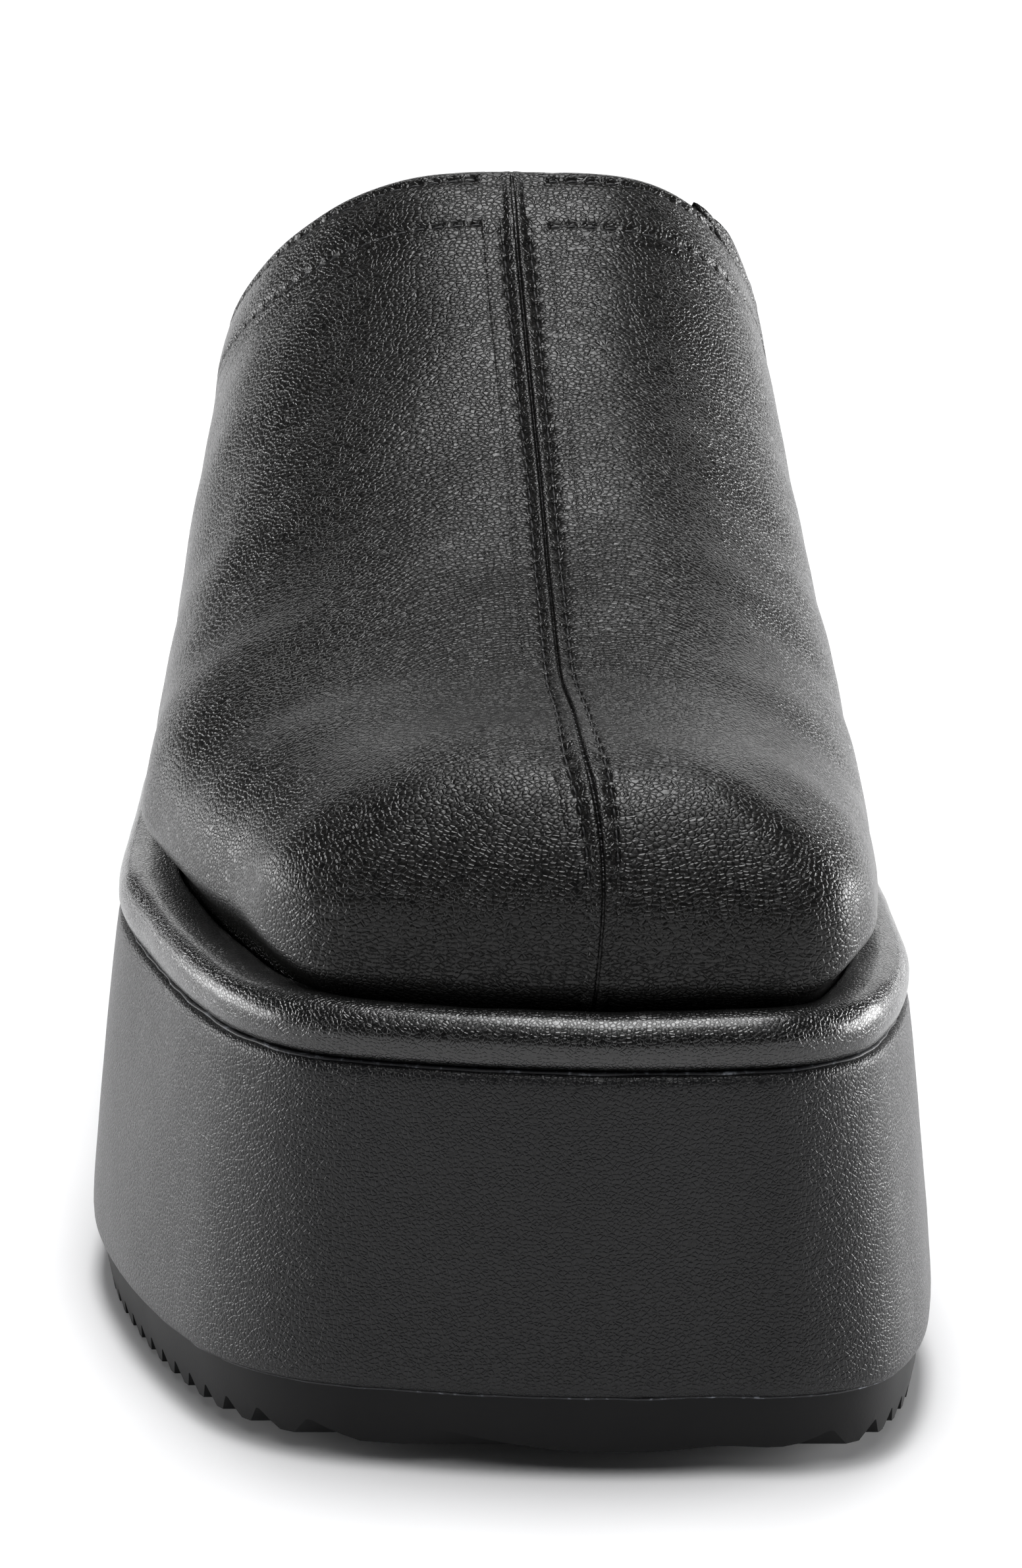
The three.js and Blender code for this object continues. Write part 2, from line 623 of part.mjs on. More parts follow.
// The gore's face, under the leather at the wedge's foot and proud of it at the collar.
function goreDepth(hand, along, turn) {
  const p = upperPoint(hand, along, turn, 0);
  const up = (p.z - deckHeight(p.y)) / instepHeight;
  return THREE.MathUtils.lerp(goreSink, -goreStand, THREE.MathUtils.smoothstep(up, 0.45, 0.75));
}

function makeGore() {
  const back = (...at) => goreDepth(...at) + goreThickness;
  return upperShell(goreDepth, back, goreRise).intersect(goreWedge(-clearance));
}

const leather = { color: 0x1b1b1d, roughness: 0.45, metalness: 0 };
const finishes = {
  platform: leather,
  rand: { ...leather, roughness: 0.38 },
  upper: leather,
  gore: { color: 0x18181a, roughness: 0.85, metalness: 0 },
  insole: { color: 0x161617, roughness: 0.6, metalness: 0 },
  outsole: { color: 0x0e0e0f, roughness: 0.75, metalness: 0 },
};

function meshOf(name, solid) {
  const made = solid.getMesh();
  const geometry = new THREE.BufferGeometry();
  geometry.setAttribute("position", new THREE.BufferAttribute(Float32Array.from(made.vertProperties), 3));
  geometry.setIndex(Array.from(made.triVerts));
  const flat = geometry.toNonIndexed();
  flat.computeVertexNormals();
  const mesh = new THREE.Mesh(flat, new THREE.MeshStandardMaterial(finishes[name]));
  mesh.name = name;
  return mesh;
}

const shoe = new THREE.Group();
shoe.add(meshOf("outsole", makeOutsole()));
shoe.add(meshOf("platform", makePlatform()));
shoe.add(meshOf("rand", makeRand()));
shoe.add(meshOf("insole", makeInsole()));
shoe.add(meshOf("upper", makeUpper()));
shoe.add(meshOf("gore", makeGore()));

// The origin is on the floor, under the middle of the shoe's box.
const box = new THREE.Box3().setFromObject(shoe);
const middle = box.getCenter(new THREE.Vector3());
for (const mesh of shoe.children) mesh.position.set(-middle.x, -middle.y, -box.min.z);

export default shoe;
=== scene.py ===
import math

import bmesh
import bpy
import numpy as np
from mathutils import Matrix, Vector, kdtree


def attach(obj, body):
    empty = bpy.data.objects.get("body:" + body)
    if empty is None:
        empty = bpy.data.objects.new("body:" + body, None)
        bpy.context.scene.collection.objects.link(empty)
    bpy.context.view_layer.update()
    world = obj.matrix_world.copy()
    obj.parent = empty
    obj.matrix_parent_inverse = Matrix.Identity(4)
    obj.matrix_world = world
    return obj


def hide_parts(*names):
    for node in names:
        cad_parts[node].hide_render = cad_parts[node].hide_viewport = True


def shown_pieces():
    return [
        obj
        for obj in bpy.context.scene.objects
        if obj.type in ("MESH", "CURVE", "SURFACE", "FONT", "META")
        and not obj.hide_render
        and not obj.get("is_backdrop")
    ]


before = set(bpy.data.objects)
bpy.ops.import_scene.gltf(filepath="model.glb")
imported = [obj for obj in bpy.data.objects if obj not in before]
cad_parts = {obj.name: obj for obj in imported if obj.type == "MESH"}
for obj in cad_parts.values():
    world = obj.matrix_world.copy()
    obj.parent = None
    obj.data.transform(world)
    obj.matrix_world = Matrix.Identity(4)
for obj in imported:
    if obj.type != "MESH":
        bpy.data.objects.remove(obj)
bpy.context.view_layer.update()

# All shapes are worked out in millimetres: side (inner side of the foot +), back from the toe
# tip, height. They become metres in the part's frame when a mesh is made.
originSide, originBack = -0.47778, 130.2256
outer, inner = -1, 1
halfPi = math.pi / 2


# Camera: the product photograph's view, from the front and a little above.
cameraView = {
    "azimuth": 0.0,
    "elevation": 18.5,
    "distance": 1444.0,  # mm, camera to the point it looks at
    "target": (0.0, 60.0, 70.08),  # side, back, height in mm
    "lens": 263.65,  # on a 36 mm sensor along the frame's long side
}


def inFrame(points):
    moved = np.asarray(points, float) - np.array([originSide, originBack, 0.0])
    return moved / 1000.0


def addObject(name, data):
    added = bpy.data.objects.new(name, data)
    bpy.context.scene.collection.objects.link(added)
    return added


def addCamera(view):
    a, e = math.radians(view["azimuth"]), math.radians(view["elevation"])
    away = Vector((math.sin(a) * math.cos(e), -math.cos(a) * math.cos(e), math.sin(e)))
    target = Vector(inFrame(view["target"]))
    camera = addObject("camera", bpy.data.cameras.new("camera"))
    camera.location = target + away * view["distance"] / 1000.0
    camera.rotation_mode = "QUATERNION"
    camera.rotation_quaternion = (-away).to_track_quat("-Z", "Y")
    camera.data.sensor_width = 36.0
    camera.data.lens = view["lens"]
    camera.data.clip_start, camera.data.clip_end = 0.05, 50.0
    bpy.context.scene.camera = camera


addCamera(cameraView)
print("camera placed")


# Shoe's main sizes and tables, the same as the part's source.
form = {
    "shoeLength": 258.0, "ballWidth": 99.8, "platformHeight": 48.7, "heelRise": 22.0,
    "deckToeLift": 3.9, "toeSpring": 3.2, "springLength": 88.0, "instepHeight": 70.4,
    "collarBack": 142.0, "upperEndBack": 190.0, "upperWall": 2.3, "clearance": 0.3,
    "toeBoxDepth": 33.0, "toeBlend": 14.0, "sideSwell": 6.0, "swellStart": 5.6,
    "swellFull": 14.0, "seamSway": 1.6, "randWidth": 9.0, "randHeight": 6.9,
}
edgeRows = [  # outer back, outer out, inner back, inner out
    (0.0, -0.0906, 0.0, 0.0906), (0.0128, 0.11, 0.0008, 0.242), (0.0341, 0.255, 0.0093, 0.3575),
    (0.0678, 0.337, 0.0333, 0.432), (0.1163, 0.396, 0.0698, 0.4693), (0.1884, 0.453, 0.1357, 0.4955),
    (0.2674, 0.4985, 0.217, 0.4844), (0.3643, 0.4894, 0.3217, 0.4522), (0.4845, 0.4562, 0.473, 0.42),
    (0.6589, 0.423, 0.6589, 0.3827), (0.8217, 0.3827, 0.814, 0.3424), (0.9535, 0.262, 0.9535, 0.2316),
    (1.0, 0.015, 1.0, -0.015),
]
rimRows = [  # roll outer, inner; flare outer, inner; swell outer, inner
    (1.0, 1.0, 0.2, 0.2, 0.35, 0.35), (0.98, 1.0, 0.35, 0.1, 0.3, 0.4),
    (0.97, 0.95, 0.7, 0.65, 0.6, 0.6), (1.0, 0.88, 1.05, 1.15, 0.78, 0.75),
    (1.0, 0.85, 1.2, 1.15, 0.8, 0.82), (0.92, 0.82, 1.35, 0.98, 0.95, 0.72),
    (0.88, 0.82, 1.15, 1.0, 1.0, 0.9), (0.88, 0.84, 1.1, 1.0, 0.92, 1.08),
    (0.88, 0.86, 1.0, 1.0, 1.05, 0.8), (0.9, 0.9, 1.0, 1.0, 0.64, 0.38),
    (1.0, 1.0, 1.0, 1.0, 0.5, 0.5), (1.0, 1.0, 1.0, 1.0, 0.5, 0.5), (1.0, 1.0, 1.0, 1.0, 0.5, 0.5),
]
ridgeRows = [  # back, side, rise
    (0.0, 0.079, 0.515), (0.225, 0.079, 0.522), (0.35, 0.062, 0.54), (0.49, 0.05, 0.615),
    (0.634, 0.038, 0.718), (0.775, 0.023, 0.824), (0.915, 0.008, 0.934), (1.0, 0.0, 1.0),
    (1.2, -0.012, 1.15), (1.45, -0.012, 1.3),
]
collarRows = [(0.0, 1.0), (0.17, 0.8), (0.38, 0.55), (0.58, 0.33), (0.79, 0.18), (1.0, 0.12)]
fullnessRows = [  # back, outer power, inner power
    (0.0, 3.3, 3.3), (0.07, 3.3, 3.3), (0.3, 2.9, 2.9), (0.6, 2.8, 3.1), (0.75, 2.8, 3.5),
    (1.0, 3.0, 3.5),
]


def smoothTable(at, values):
    x, y = np.array(at, float), np.array(values, float)
    span = np.diff(x)
    slope = np.diff(y) / span
    before, after = slope[:-1], slope[1:]
    rising = before * after > 0
    total = np.where(rising, before + after, 1.0)
    bends = np.where(rising, 2 * before * after / total, 0.0)
    tangent = np.concatenate([[slope[0]], bends, [slope[-1]]])

    def value(p):
        p = np.clip(p, x[0], x[-1])
        i = np.clip(np.searchsorted(x, p, side="left") - 1, 0, len(span) - 1)
        t = (p - x[i]) / span[i]
        hermite = (1 + 2 * t) * (1 - t) ** 2 * y[i] + t * t * (3 - 2 * t) * y[i + 1]
        return hermite + span[i] * t * (1 - t) * ((1 - t) * tangent[i] - t * tangent[i + 1])

    return value


def smoothstep(value, low, high):
    t = np.clip((value - low) / (high - low), 0, 1)
    return t * t * (3 - 2 * t)


def lengthAlong(line):
    return np.concatenate([[0], np.cumsum(np.linalg.norm(np.diff(line, axis=0), axis=1))])


# A smooth hump of height 1 round a place.
def hump(value, place, width):
    return np.exp(-(((value - place) / width) ** 2))


def unit(vectors):
    return vectors / np.linalg.norm(vectors, axis=-1)[..., None]


def dots(*pairs):
    return [np.sum(u * v, axis=1) for u, v in pairs]


alongRows = np.linspace(0, 1, len(rimRows))
rimTables = [smoothTable(alongRows, column) for column in zip(*rimRows)]
ridgeBacks, *ridgeColumns = zip(*ridgeRows)
ridgeTables = [smoothTable(ridgeBacks, column) for column in ridgeColumns]
collarTable = smoothTable(*zip(*collarRows))
fullnessBacks, *fullnessPowers = zip(*fullnessRows)
fullnessTables = [smoothTable(fullnessBacks, powers) for powers in fullnessPowers]
outlineStops = np.array(
    [(-row[1] * form["ballWidth"], row[0] * form["shoeLength"]) for row in edgeRows]
    + [(row[3] * form["ballWidth"], row[2] * form["shoeLength"]) for row in edgeRows[-2:0:-1]]
)


def springRise(back):
    return np.maximum(0, 1 - back / form["springLength"]) ** 2


def treadHeight(back):
    return form["toeSpring"] * springRise(back)


def platformFoot(back):
    return treadHeight(back) + soleSizes["thickness"]


def deckHeight(back):
    pitch = smoothstep(back / form["shoeLength"], 0.29, 0.91)
    return form["platformHeight"] + form["deckToeLift"] * springRise(back) + form["heelRise"] * pitch


# Closed centripetal curve through the outline's stops, at a share of its stops.
def outlineAt(share):
    count = len(outlineStops)
    at = np.asarray(share, float) * count
    first = np.floor(at).astype(int)
    t = (at - first)[..., None]
    p0, p1, p2, p3 = (outlineStops[(first + k) % count] for k in (-1, 0, 1, 2))
    spans = (p1 - p0, p2 - p1, p3 - p2)
    d0, d1, d2 = (np.sqrt(np.linalg.norm(span, axis=-1))[..., None] for span in spans)
    t1 = ((p1 - p0) / d0 - (p2 - p0) / (d0 + d1) + (p2 - p1) / d1) * d1
    t2 = ((p2 - p1) / d1 - (p3 - p1) / (d1 + d2) + (p3 - p2) / d2) * d1
    c2, c3 = -3 * p1 + 3 * p2 - 2 * t1 - t2, 2 * p1 - 2 * p2 + t1 + t2
    return p1 + t * (t1 + t * (c2 + t * c3))


def edgePoint(hand, along, inset):
    along = np.asarray(along, float)
    share = np.where(np.asarray(hand) == outer, along / 2, 1 - along / 2) % 1
    tangent = unit(outlineAt(np.minimum(share + 1e-4, 1)) - outlineAt(np.maximum(share - 1e-4, 0)))
    point = outlineAt(share)
    inset = np.asarray(inset, float)
    side = point[..., 0] + tangent[..., 1] * inset
    return np.stack([side, point[..., 1] - tangent[..., 0] * inset], -1)


def rimValue(hand, along, kind):
    k = {"roll": 0, "flare": 2, "swell": 4}[kind]
    return np.where(np.asarray(hand) == outer, rimTables[k](along), rimTables[k + 1](along))


def rollWidth(hand, along):
    return form["randWidth"] * rimValue(hand, along, "roll")


def upperInset(hand, along):
    return rollWidth(hand, along) + form["clearance"]


def ridgeSide(back):
    return ridgeTables[0](back / form["collarBack"]) * form["ballWidth"]


def ridgeHeight(back, sink):
    return deckHeight(back) + ridgeTables[1](back / form["collarBack"]) * form["instepHeight"] - sink


def ribBack(along):
    backs = [edgePoint(hand, along, upperInset(hand, along))[..., 1] for hand in (outer, inner)]
    past = (backs[0] + backs[1]) / 2 - form["toeBoxDepth"]
    return form["toeBoxDepth"] + (past + np.hypot(past, form["toeBlend"])) / 2


toeBulge = {"startLower": 1.2, "fullLower": 4.2}  # mm
softForm = {
    # long soft waves of hide shaped by hand over a last: direction, length and height in mm
    "waves": [((0.9, 0.3, 0.3), 31, 0.15), ((-0.5, 0.8, 0.2), 23, 0.13), ((0.2, 0.5, -0.8), 27, 0.14),
              ((0.1, 1.0, 0.3), 13, 0.05), ((0.8, -0.5, 0.3), 11, 0.035)],
    "puff": ((-30.5, 22.0, 72.0), 8.0, 1.3),  # over the toe puff's outer corner: place, radius, height
}


def handForm(point):
    place, radius, rise = softForm["puff"]
    total = rise * np.exp(-np.sum((point - np.array(place)) ** 2, axis=-1) / radius**2)
    for k, (direction, length, height) in enumerate(softForm["waves"]):
        total = total + height * np.sin(point @ np.array(direction) * (2 * math.pi / length) + 1.7 * k)
    return total


# A point of the upper's surface, or of one sunk below it, from where its rib starts along the
# edge and how far up the rib it is (0 at the foot, a quarter turn at the ridge).
def upperPoint(hand, along, turn, sink=0.0):
    hand, along, turn, sink = np.broadcast_arrays(hand, along, turn, sink)
    foot = edgePoint(hand, along, upperInset(hand, along) + sink)
    meet = ribBack(along)
    ridge = np.stack([ridgeSide(meet), meet], -1)
    base = deckHeight(foot[..., 1]) + form["clearance"]
    length = foot[..., 1] / form["upperEndBack"]
    power = np.where(hand == outer, fullnessTables[0](length), fullnessTables[1](length))
    c, s = np.maximum(0, np.cos(turn)), np.sin(turn)
    size = (c**power + s**power) ** (-1 / power)
    up = size * s
    rise = (ridgeHeight(meet, sink) - base) * up
    fade = 1 - smoothstep(up, 0.5, 1)
    # over the toe the leather bulges out close above the rand
    onFront = 1 - smoothstep(along, 0.16, 0.34)
    start = form["swellStart"] - onFront * toeBulge["startLower"]
    full = form["swellFull"] - onFront * toeBulge["fullLower"]
    swell = smoothstep(rise, start, full) * fade * form["sideSwell"]
    span = foot - ridge
    reach = size * c + swell * rimValue(hand, along, "swell") / np.linalg.norm(span, axis=-1)
    onToe = 1 - smoothstep(meet, form["toeBoxDepth"], form["toeBoxDepth"] + 15)
    sway = form["seamSway"] * onToe * 6.75 * up * up * (1 - up)
    plan = ridge + span * reach[..., None]
    point = np.stack([plan[..., 0] + sway, plan[..., 1], base + rise], -1)
    outward = np.concatenate([unit(span) * c[..., None], s[..., None]], -1)
    return point + outward * (handForm(point) * smoothstep(up, 0.12, 0.4))[..., None]


def collarHeight(back, lift=0.0):
    share = (back - form["collarBack"]) / (form["upperEndBack"] - form["collarBack"])
    return deckHeight(back) + collarTable(share) * form["instepHeight"] + lift


def collarTurn(hand, along, sink=0.0, lift=0.0):
    along = np.asarray(along, float)
    low, high = np.zeros_like(along), np.full_like(along, halfPi)
    for _ in range(30):
        middle = (low + high) / 2
        p = upperPoint(hand, along, middle, sink)
        below = p[..., 2] < collarHeight(p[..., 1], lift)
        low, high = np.where(below, middle, low), np.where(below, high, middle)
    return (low + high) / 2


# Steps of the surface with each of its two numbers, and its outward normal.
def surfaceFrame(hand, along, turn):
    step = 3e-4
    alongHigh, turnHigh = np.minimum(along + step, 1), np.minimum(turn + step, halfPi)
    alongLow, turnLow = np.maximum(alongHigh - 2 * step, 0), np.maximum(turnHigh - 2 * step, 0)
    byAlong = upperPoint(hand, alongHigh, turn) - upperPoint(hand, alongLow, turn)
    byTurn = upperPoint(hand, along, turnHigh) - upperPoint(hand, along, turnLow)
    byAlong /= (alongHigh - alongLow)[:, None]
    byTurn /= (turnHigh - turnLow)[:, None]
    return byAlong, byTurn, unit(np.cross(byAlong, byTurn) * hand)


# Walks across the surface from a line on it, square to the line, out to each offset.
def walkAcross(hand, along, turn, heading, offsets):
    along, turn = along.copy(), turn.copy()
    points, normals, done = [], [], np.zeros_like(along)
    for target in offsets:
        target = np.broadcast_to(target, along.shape)
        steps = max(1, int(math.ceil(float(np.max(target - done)) / 0.4)))
        move = (target - done) / steps
        for _ in range(steps):
            byAlong, byTurn, normal = surfaceFrame(hand, along, turn)
            heading = unit(heading - normal * dots((heading, normal))[0][:, None])
            aa, ab, bb = dots((byAlong, byAlong), (byAlong, byTurn), (byTurn, byTurn))
            ha, hb = dots((heading, byAlong), (heading, byTurn))
            scale = move / np.maximum(aa * bb - ab * ab, 1e-9)
            along = np.clip(along + (bb * ha - ab * hb) * scale, 0, 1)
            turn = np.clip(turn + (aa * hb - ab * ha) * scale, 0, halfPi)
        done = target
        points.append(upperPoint(hand, along, turn))
        normals.append(surfaceFrame(hand, along, turn)[2])
    return np.array(points), np.array(normals)


alongFine = np.linspace(0, 0.9, 1500)
peakAlong = float(np.interp(form["collarBack"], ribBack(alongFine), alongFine))
rearBacks = edgePoint(inner, alongFine, upperInset(inner, alongFine))[:, 1]
rearAlong = float(np.interp(form["upperEndBack"], rearBacks, alongFine))


# Meshes from points in mm. Faces are lists of point numbers.
def makePiece(name, points, faces, merge=0.0, smooth=True):
    mesh = bpy.data.meshes.new(name)
    mesh.from_pydata(inFrame(points).tolist(), [], [list(map(int, face)) for face in faces])
    work = bmesh.new()
    work.from_mesh(mesh)
    if merge:
        bmesh.ops.remove_doubles(work, verts=work.verts, dist=merge / 1000.0)
    bmesh.ops.dissolve_degenerate(work, dist=1e-7, edges=work.edges)
    bmesh.ops.recalc_face_normals(work, faces=work.faces)
    work.to_mesh(mesh)
    work.free()
    mesh.polygons.foreach_set("use_smooth", [smooth] * len(mesh.polygons))
    return addObject(name, mesh)


# Faces of a grid of point numbers, and of the strip between two lines of them.
def sheetFaces(ids):
    corners = ids[:-1, :-1], ids[:-1, 1:], ids[1:, 1:], ids[1:, :-1]
    return np.stack(corners, -1).reshape(-1, 4).tolist()


def stripFaces(a, b):
    return np.stack([a[:-1], a[1:], b[1:], b[:-1]], -1).tolist()


# Sections of the same number of points, skinned one to the next.
def skinSections(sections, closedAlong, caps=True):
    count, ring = sections.shape[:2]
    ids = np.arange(count * ring).reshape(count, ring)
    nextIds = np.roll(ids, -1, axis=0) if closedAlong else ids[1:]
    hereIds = ids if closedAlong else ids[:-1]
    corners = hereIds, np.roll(hereIds, -1, axis=1), np.roll(nextIds, -1, axis=1), nextIds
    faces = np.stack(corners, -1).reshape(-1, 4).tolist()
    if caps and not closedAlong:
        faces += [ids[0].tolist()[::-1], ids[-1].tolist()]
    return sections.reshape(-1, 3), faces


def skinPiece(name, sections, closedAlong=False, **options):
    return makePiece(name, *skinSections(sections, closedAlong), **options)


# The same from lines that run along the piece, one for each point of its section.
def linePiece(name, lines, closedAlong=False):
    return skinPiece(name, np.array(lines).transpose(1, 0, 2), closedAlong)


# Small steady noise for sewn and moulded forms: a few sine waves with fixed phases.
def softNoise(points, size, seed):
    dice = np.random.default_rng(seed)
    total = np.zeros(len(points))
    for _ in range(10):
        wave = dice.normal(size=3)
        wave /= np.linalg.norm(wave)
        length = size * dice.uniform(0.6, 1.6)
        total += np.sin(points @ wave * (2 * math.pi / length) + dice.uniform(0, 6.28))
    return total / math.sqrt(5)


def nearTree(points):
    tree = kdtree.KDTree(len(points))
    for i, p in enumerate(points):
        tree.insert(p, i)
    tree.balance()
    return tree


def distancesTo(tree, points):
    return np.array([tree.find(p)[2] for p in points])


# Colours and materials.
def linear(code):
    parts = [int(code[k : k + 2], 16) / 255 for k in (1, 3, 5)]
    return (*[c / 12.92 if c <= 0.04045 else ((c + 0.055) / 1.055) ** 2.4 for c in parts], 1.0)


def addNode(tree, kind, settings=None, links=None, **attributes):
    node = tree.nodes.new(kind)
    for key, value in attributes.items():
        setattr(node, key, value)
    for key, value in (settings or {}).items():
        node.inputs[key].default_value = value
    for key, source in (links or {}).items():
        tree.links.new(source, node.inputs[key])
    return node


def newMaterial(name):
    material = bpy.data.materials.new(name)
    material.use_nodes = True
    tree = material.node_tree
    shader = tree.nodes["Principled BSDF"]
    place = addNode(tree, "ShaderNodeTexCoord").outputs["Object"]
    return material, tree, shader, place


# Sets a shader's sockets: a link where the value is another node's output.
def setShader(tree, shader, values):
    for key, value in values.items():
        if isinstance(value, bpy.types.NodeSocket):
            tree.links.new(value, shader.inputs[key])
        else:
            shader.inputs[key].default_value = value


# A tone between two colours by one pattern, relief (strength, mm) by another, and plain values.
def finishShader(tree, shader, tones, byTone, relief, byRelief, values):
    tone = addNode(
        tree, "ShaderNodeMix", {"A": linear(tones[0]), "B": linear(tones[1])}, {"Factor": byTone},
        data_type="RGBA",
    )
    bump = addNode(
        tree, "ShaderNodeBump", {"Strength": relief[0], "Distance": relief[1] / 1000}, {"Height": byRelief}
    )
    made = {"Base Color": tone.outputs["Result"], "Normal": bump.outputs["Normal"]}
    setShader(tree, shader, {**made, **values})


# Finished leather: dyed black through, a thin pigment and wax coat over a fine pebbled grain.
# To the eye it is a soft, low sheen broken into tiny beads, with painted shade darkening the
# creases between pebbles, and a little duller where the finish is rubbed.
def leatherMaterial(name, look):
    material, tree, shader, place = newMaterial(name)
    pebble, roughness = look["pebble"], look["roughness"]
    spread = addNode(tree, "ShaderNodeMapping", {"Scale": look["stretch"]}, {"Vector": place})
    drift = addNode(tree, "ShaderNodeTexNoise", {"Scale": 1000 / 5.0, "Detail": 2.0}, {"Vector": place})
    pull = addNode(
        tree, "ShaderNodeVectorMath", {"Scale": 0.0004}, {"Vector": drift.outputs["Color"]},
        operation="SCALE",
    )
    moved = addNode(
        tree, "ShaderNodeVectorMath", links={0: spread.outputs["Vector"], 1: pull.outputs["Vector"]}
    ).outputs["Vector"]
    creases, domes = [
        addNode(
            tree, "ShaderNodeTexVoronoi", {"Scale": 1000 / pebble, "Randomness": 1.0},
            {"Vector": moved}, feature=feature,
        )
        for feature in ("DISTANCE_TO_EDGE", "F1")
    ]
    pores = addNode(
        tree, "ShaderNodeTexNoise", {"Scale": 1000 / (pebble * 0.4), "Detail": 2.0}, {"Vector": moved}
    ).outputs["Fac"]
    folds = addNode(
        tree, "ShaderNodeTexNoise", {"Scale": 1000 / 2.6, "Detail": 3.0, "Roughness": 0.6},
        {"Vector": moved},
    ).outputs["Fac"]
    grainReliefAndCreaseShade = addNode(
        tree, "ShaderNodeMapRange", {"From Min": 0.0, "From Max": look["creaseWidth"]},
        {"Value": creases.outputs["Distance"]}, interpolation_type="SMOOTHSTEP",
    ).outputs["Result"]
    height = grainReliefAndCreaseShade
    for share, layer in ((-0.7, domes.outputs["Distance"]), (0.35, pores), (look["folds"], folds)):
        height = addNode(
            tree, "ShaderNodeMath", {1: share}, {0: layer, 2: height}, operation="MULTIPLY_ADD"
        ).outputs["Value"]
    patches = addNode(
        tree, "ShaderNodeTexNoise", {"Scale": 1000 / 22.0, "Detail": 3.0}, {"Vector": place}
    )
    wear = addNode(
        tree, "ShaderNodeMapRange",
        {"From Min": 0.3, "From Max": 0.7, "To Min": roughness - 0.012, "To Max": roughness + 0.014},
        {"Value": patches.outputs["Fac"]},
    )
    dull = addNode(
        tree, "ShaderNodeMath", {1: 0.12}, {0: pores, 2: wear.outputs["Result"]}, operation="MULTIPLY_ADD"
    )
    # the tone is partly painted shade: the crease colour darkens the creases between pebbles, the same
    # pattern as the relief
    tones, relief = (look["paintedCreaseShade"], look["colour"]), (look["grain"], look["relief"])
    finishShader(tree, shader, tones, grainReliefAndCreaseShade, relief, height, {
        "Roughness": dull.outputs["Value"], "IOR": look["ior"], "Specular IOR Level": look["specular"],
        "Coat Weight": look["coat"], "Coat Roughness": look["coatRoughness"],
    })
    return material


# each look's crease colour is painted shade in the grain's creases
leatherLooks = {
    # fine nappa of the upper: pebbles of half a mm, wider across the foot than along it
    "upper": {
        "colour": "#121110", "paintedCreaseShade": "#040404", "pebble": 0.54, "stretch": (0.74, 1.0, 1.0),
        "creaseWidth": 0.22, "folds": 0.16, "grain": 1.0, "relief": 0.05, "roughness": 0.235,
        "ior": 1.5, "specular": 0.36, "coat": 0.0, "coatRoughness": 0.25,
    },
    # the same hide, stretched over the padded roll, so smoother and shinier
    "rand": {
        "colour": "#121212", "paintedCreaseShade": "#060606", "pebble": 0.54, "stretch": (1.0, 1.0, 1.0),
        "creaseWidth": 0.2, "folds": 0.2, "grain": 1.0, "relief": 0.04, "roughness": 0.18,
        "ior": 1.5, "specular": 0.5, "coat": 0.25, "coatRoughness": 0.18,
    },
    # wrapped and cemented on the block: a flatter, duller grain
    "platform": {
        "colour": "#101012", "paintedCreaseShade": "#050506", "pebble": 0.54, "stretch": (1.0, 1.0, 1.0),
        "creaseWidth": 0.22, "folds": 0.2, "grain": 1.0, "relief": 0.045, "roughness": 0.3,
        "ior": 1.5, "specular": 0.34, "coat": 0.0, "coatRoughness": 0.3,
    },
    # smooth lining leather of the sock and the inside
    "lining": {
        "colour": "#161617", "paintedCreaseShade": "#0d0d0e", "pebble": 0.5, "stretch": (1.0, 1.0, 1.0),
        "creaseWidth": 0.2, "folds": 0.3, "grain": 0.4, "relief": 0.04, "roughness": 0.5,
        "ior": 1.48, "specular": 0.4, "coat": 0.0, "coatRoughness": 0.3,
    },
}
upperLeather = leatherMaterial("leather_nappa_pebbled", leatherLooks["upper"])
randLeather = leatherMaterial("leather_nappa_over_padding", leatherLooks["rand"])
platformLeather = leatherMaterial("leather_nappa_wrapped", leatherLooks["platform"])
liningLeather = leatherMaterial("leather_lining_smooth", leatherLooks["lining"])


# Bonded polyester sewing thread: matt, with the fine twist of its plies.
def threadMaterial(name, dark, light):
    material, tree, shader, place = newMaterial(name)
    twist = addNode(tree, "ShaderNodeTexNoise", {"Scale": 1000 / 0.25, "Detail": 1.0}, {"Vector": place})
    plies = twist.outputs["Fac"]
    finishShader(tree, shader, (dark, light), plies, (0.5, 0.04), plies, {"Roughness": 0.55})
    return material


threadBlack = threadMaterial("polyester_thread_bonded_black", "#080809", "#1c1c1e")
# pale grey thread: its light tones are a painted glint of the closing threads catching light in the groove
threadPaintedGlint = threadMaterial("polyester_thread_bonded_grey", "#3a3a3c", "#77777a")


# Vulcanised rubber sole, moulded: matt black, faintly speckled from the mould's blasting and
# dusty grey where it was buffed.
def rubberMaterial():
    material, tree, shader, place = newMaterial("rubber_moulded_matt")
    blast = addNode(tree, "ShaderNodeTexNoise", {"Scale": 1000 / 0.4, "Detail": 2.0}, {"Vector": place})
    cloud = addNode(tree, "ShaderNodeTexNoise", {"Scale": 1000 / 14.0, "Detail": 3.0}, {"Vector": place})
    dull = addNode(
        tree, "ShaderNodeMapRange", {"To Min": 0.56, "To Max": 0.78}, {"Value": cloud.outputs["Fac"]}
    )
    values = {"Roughness": dull.outputs["Result"], "IOR": 1.52, "Specular IOR Level": 0.25}
    finishShader(
        tree, shader, ("#060607", "#0f0f10"), cloud.outputs["Fac"], (0.35, 0.04), blast.outputs["Fac"], values
    )
    return material


soleRubber = rubberMaterial()


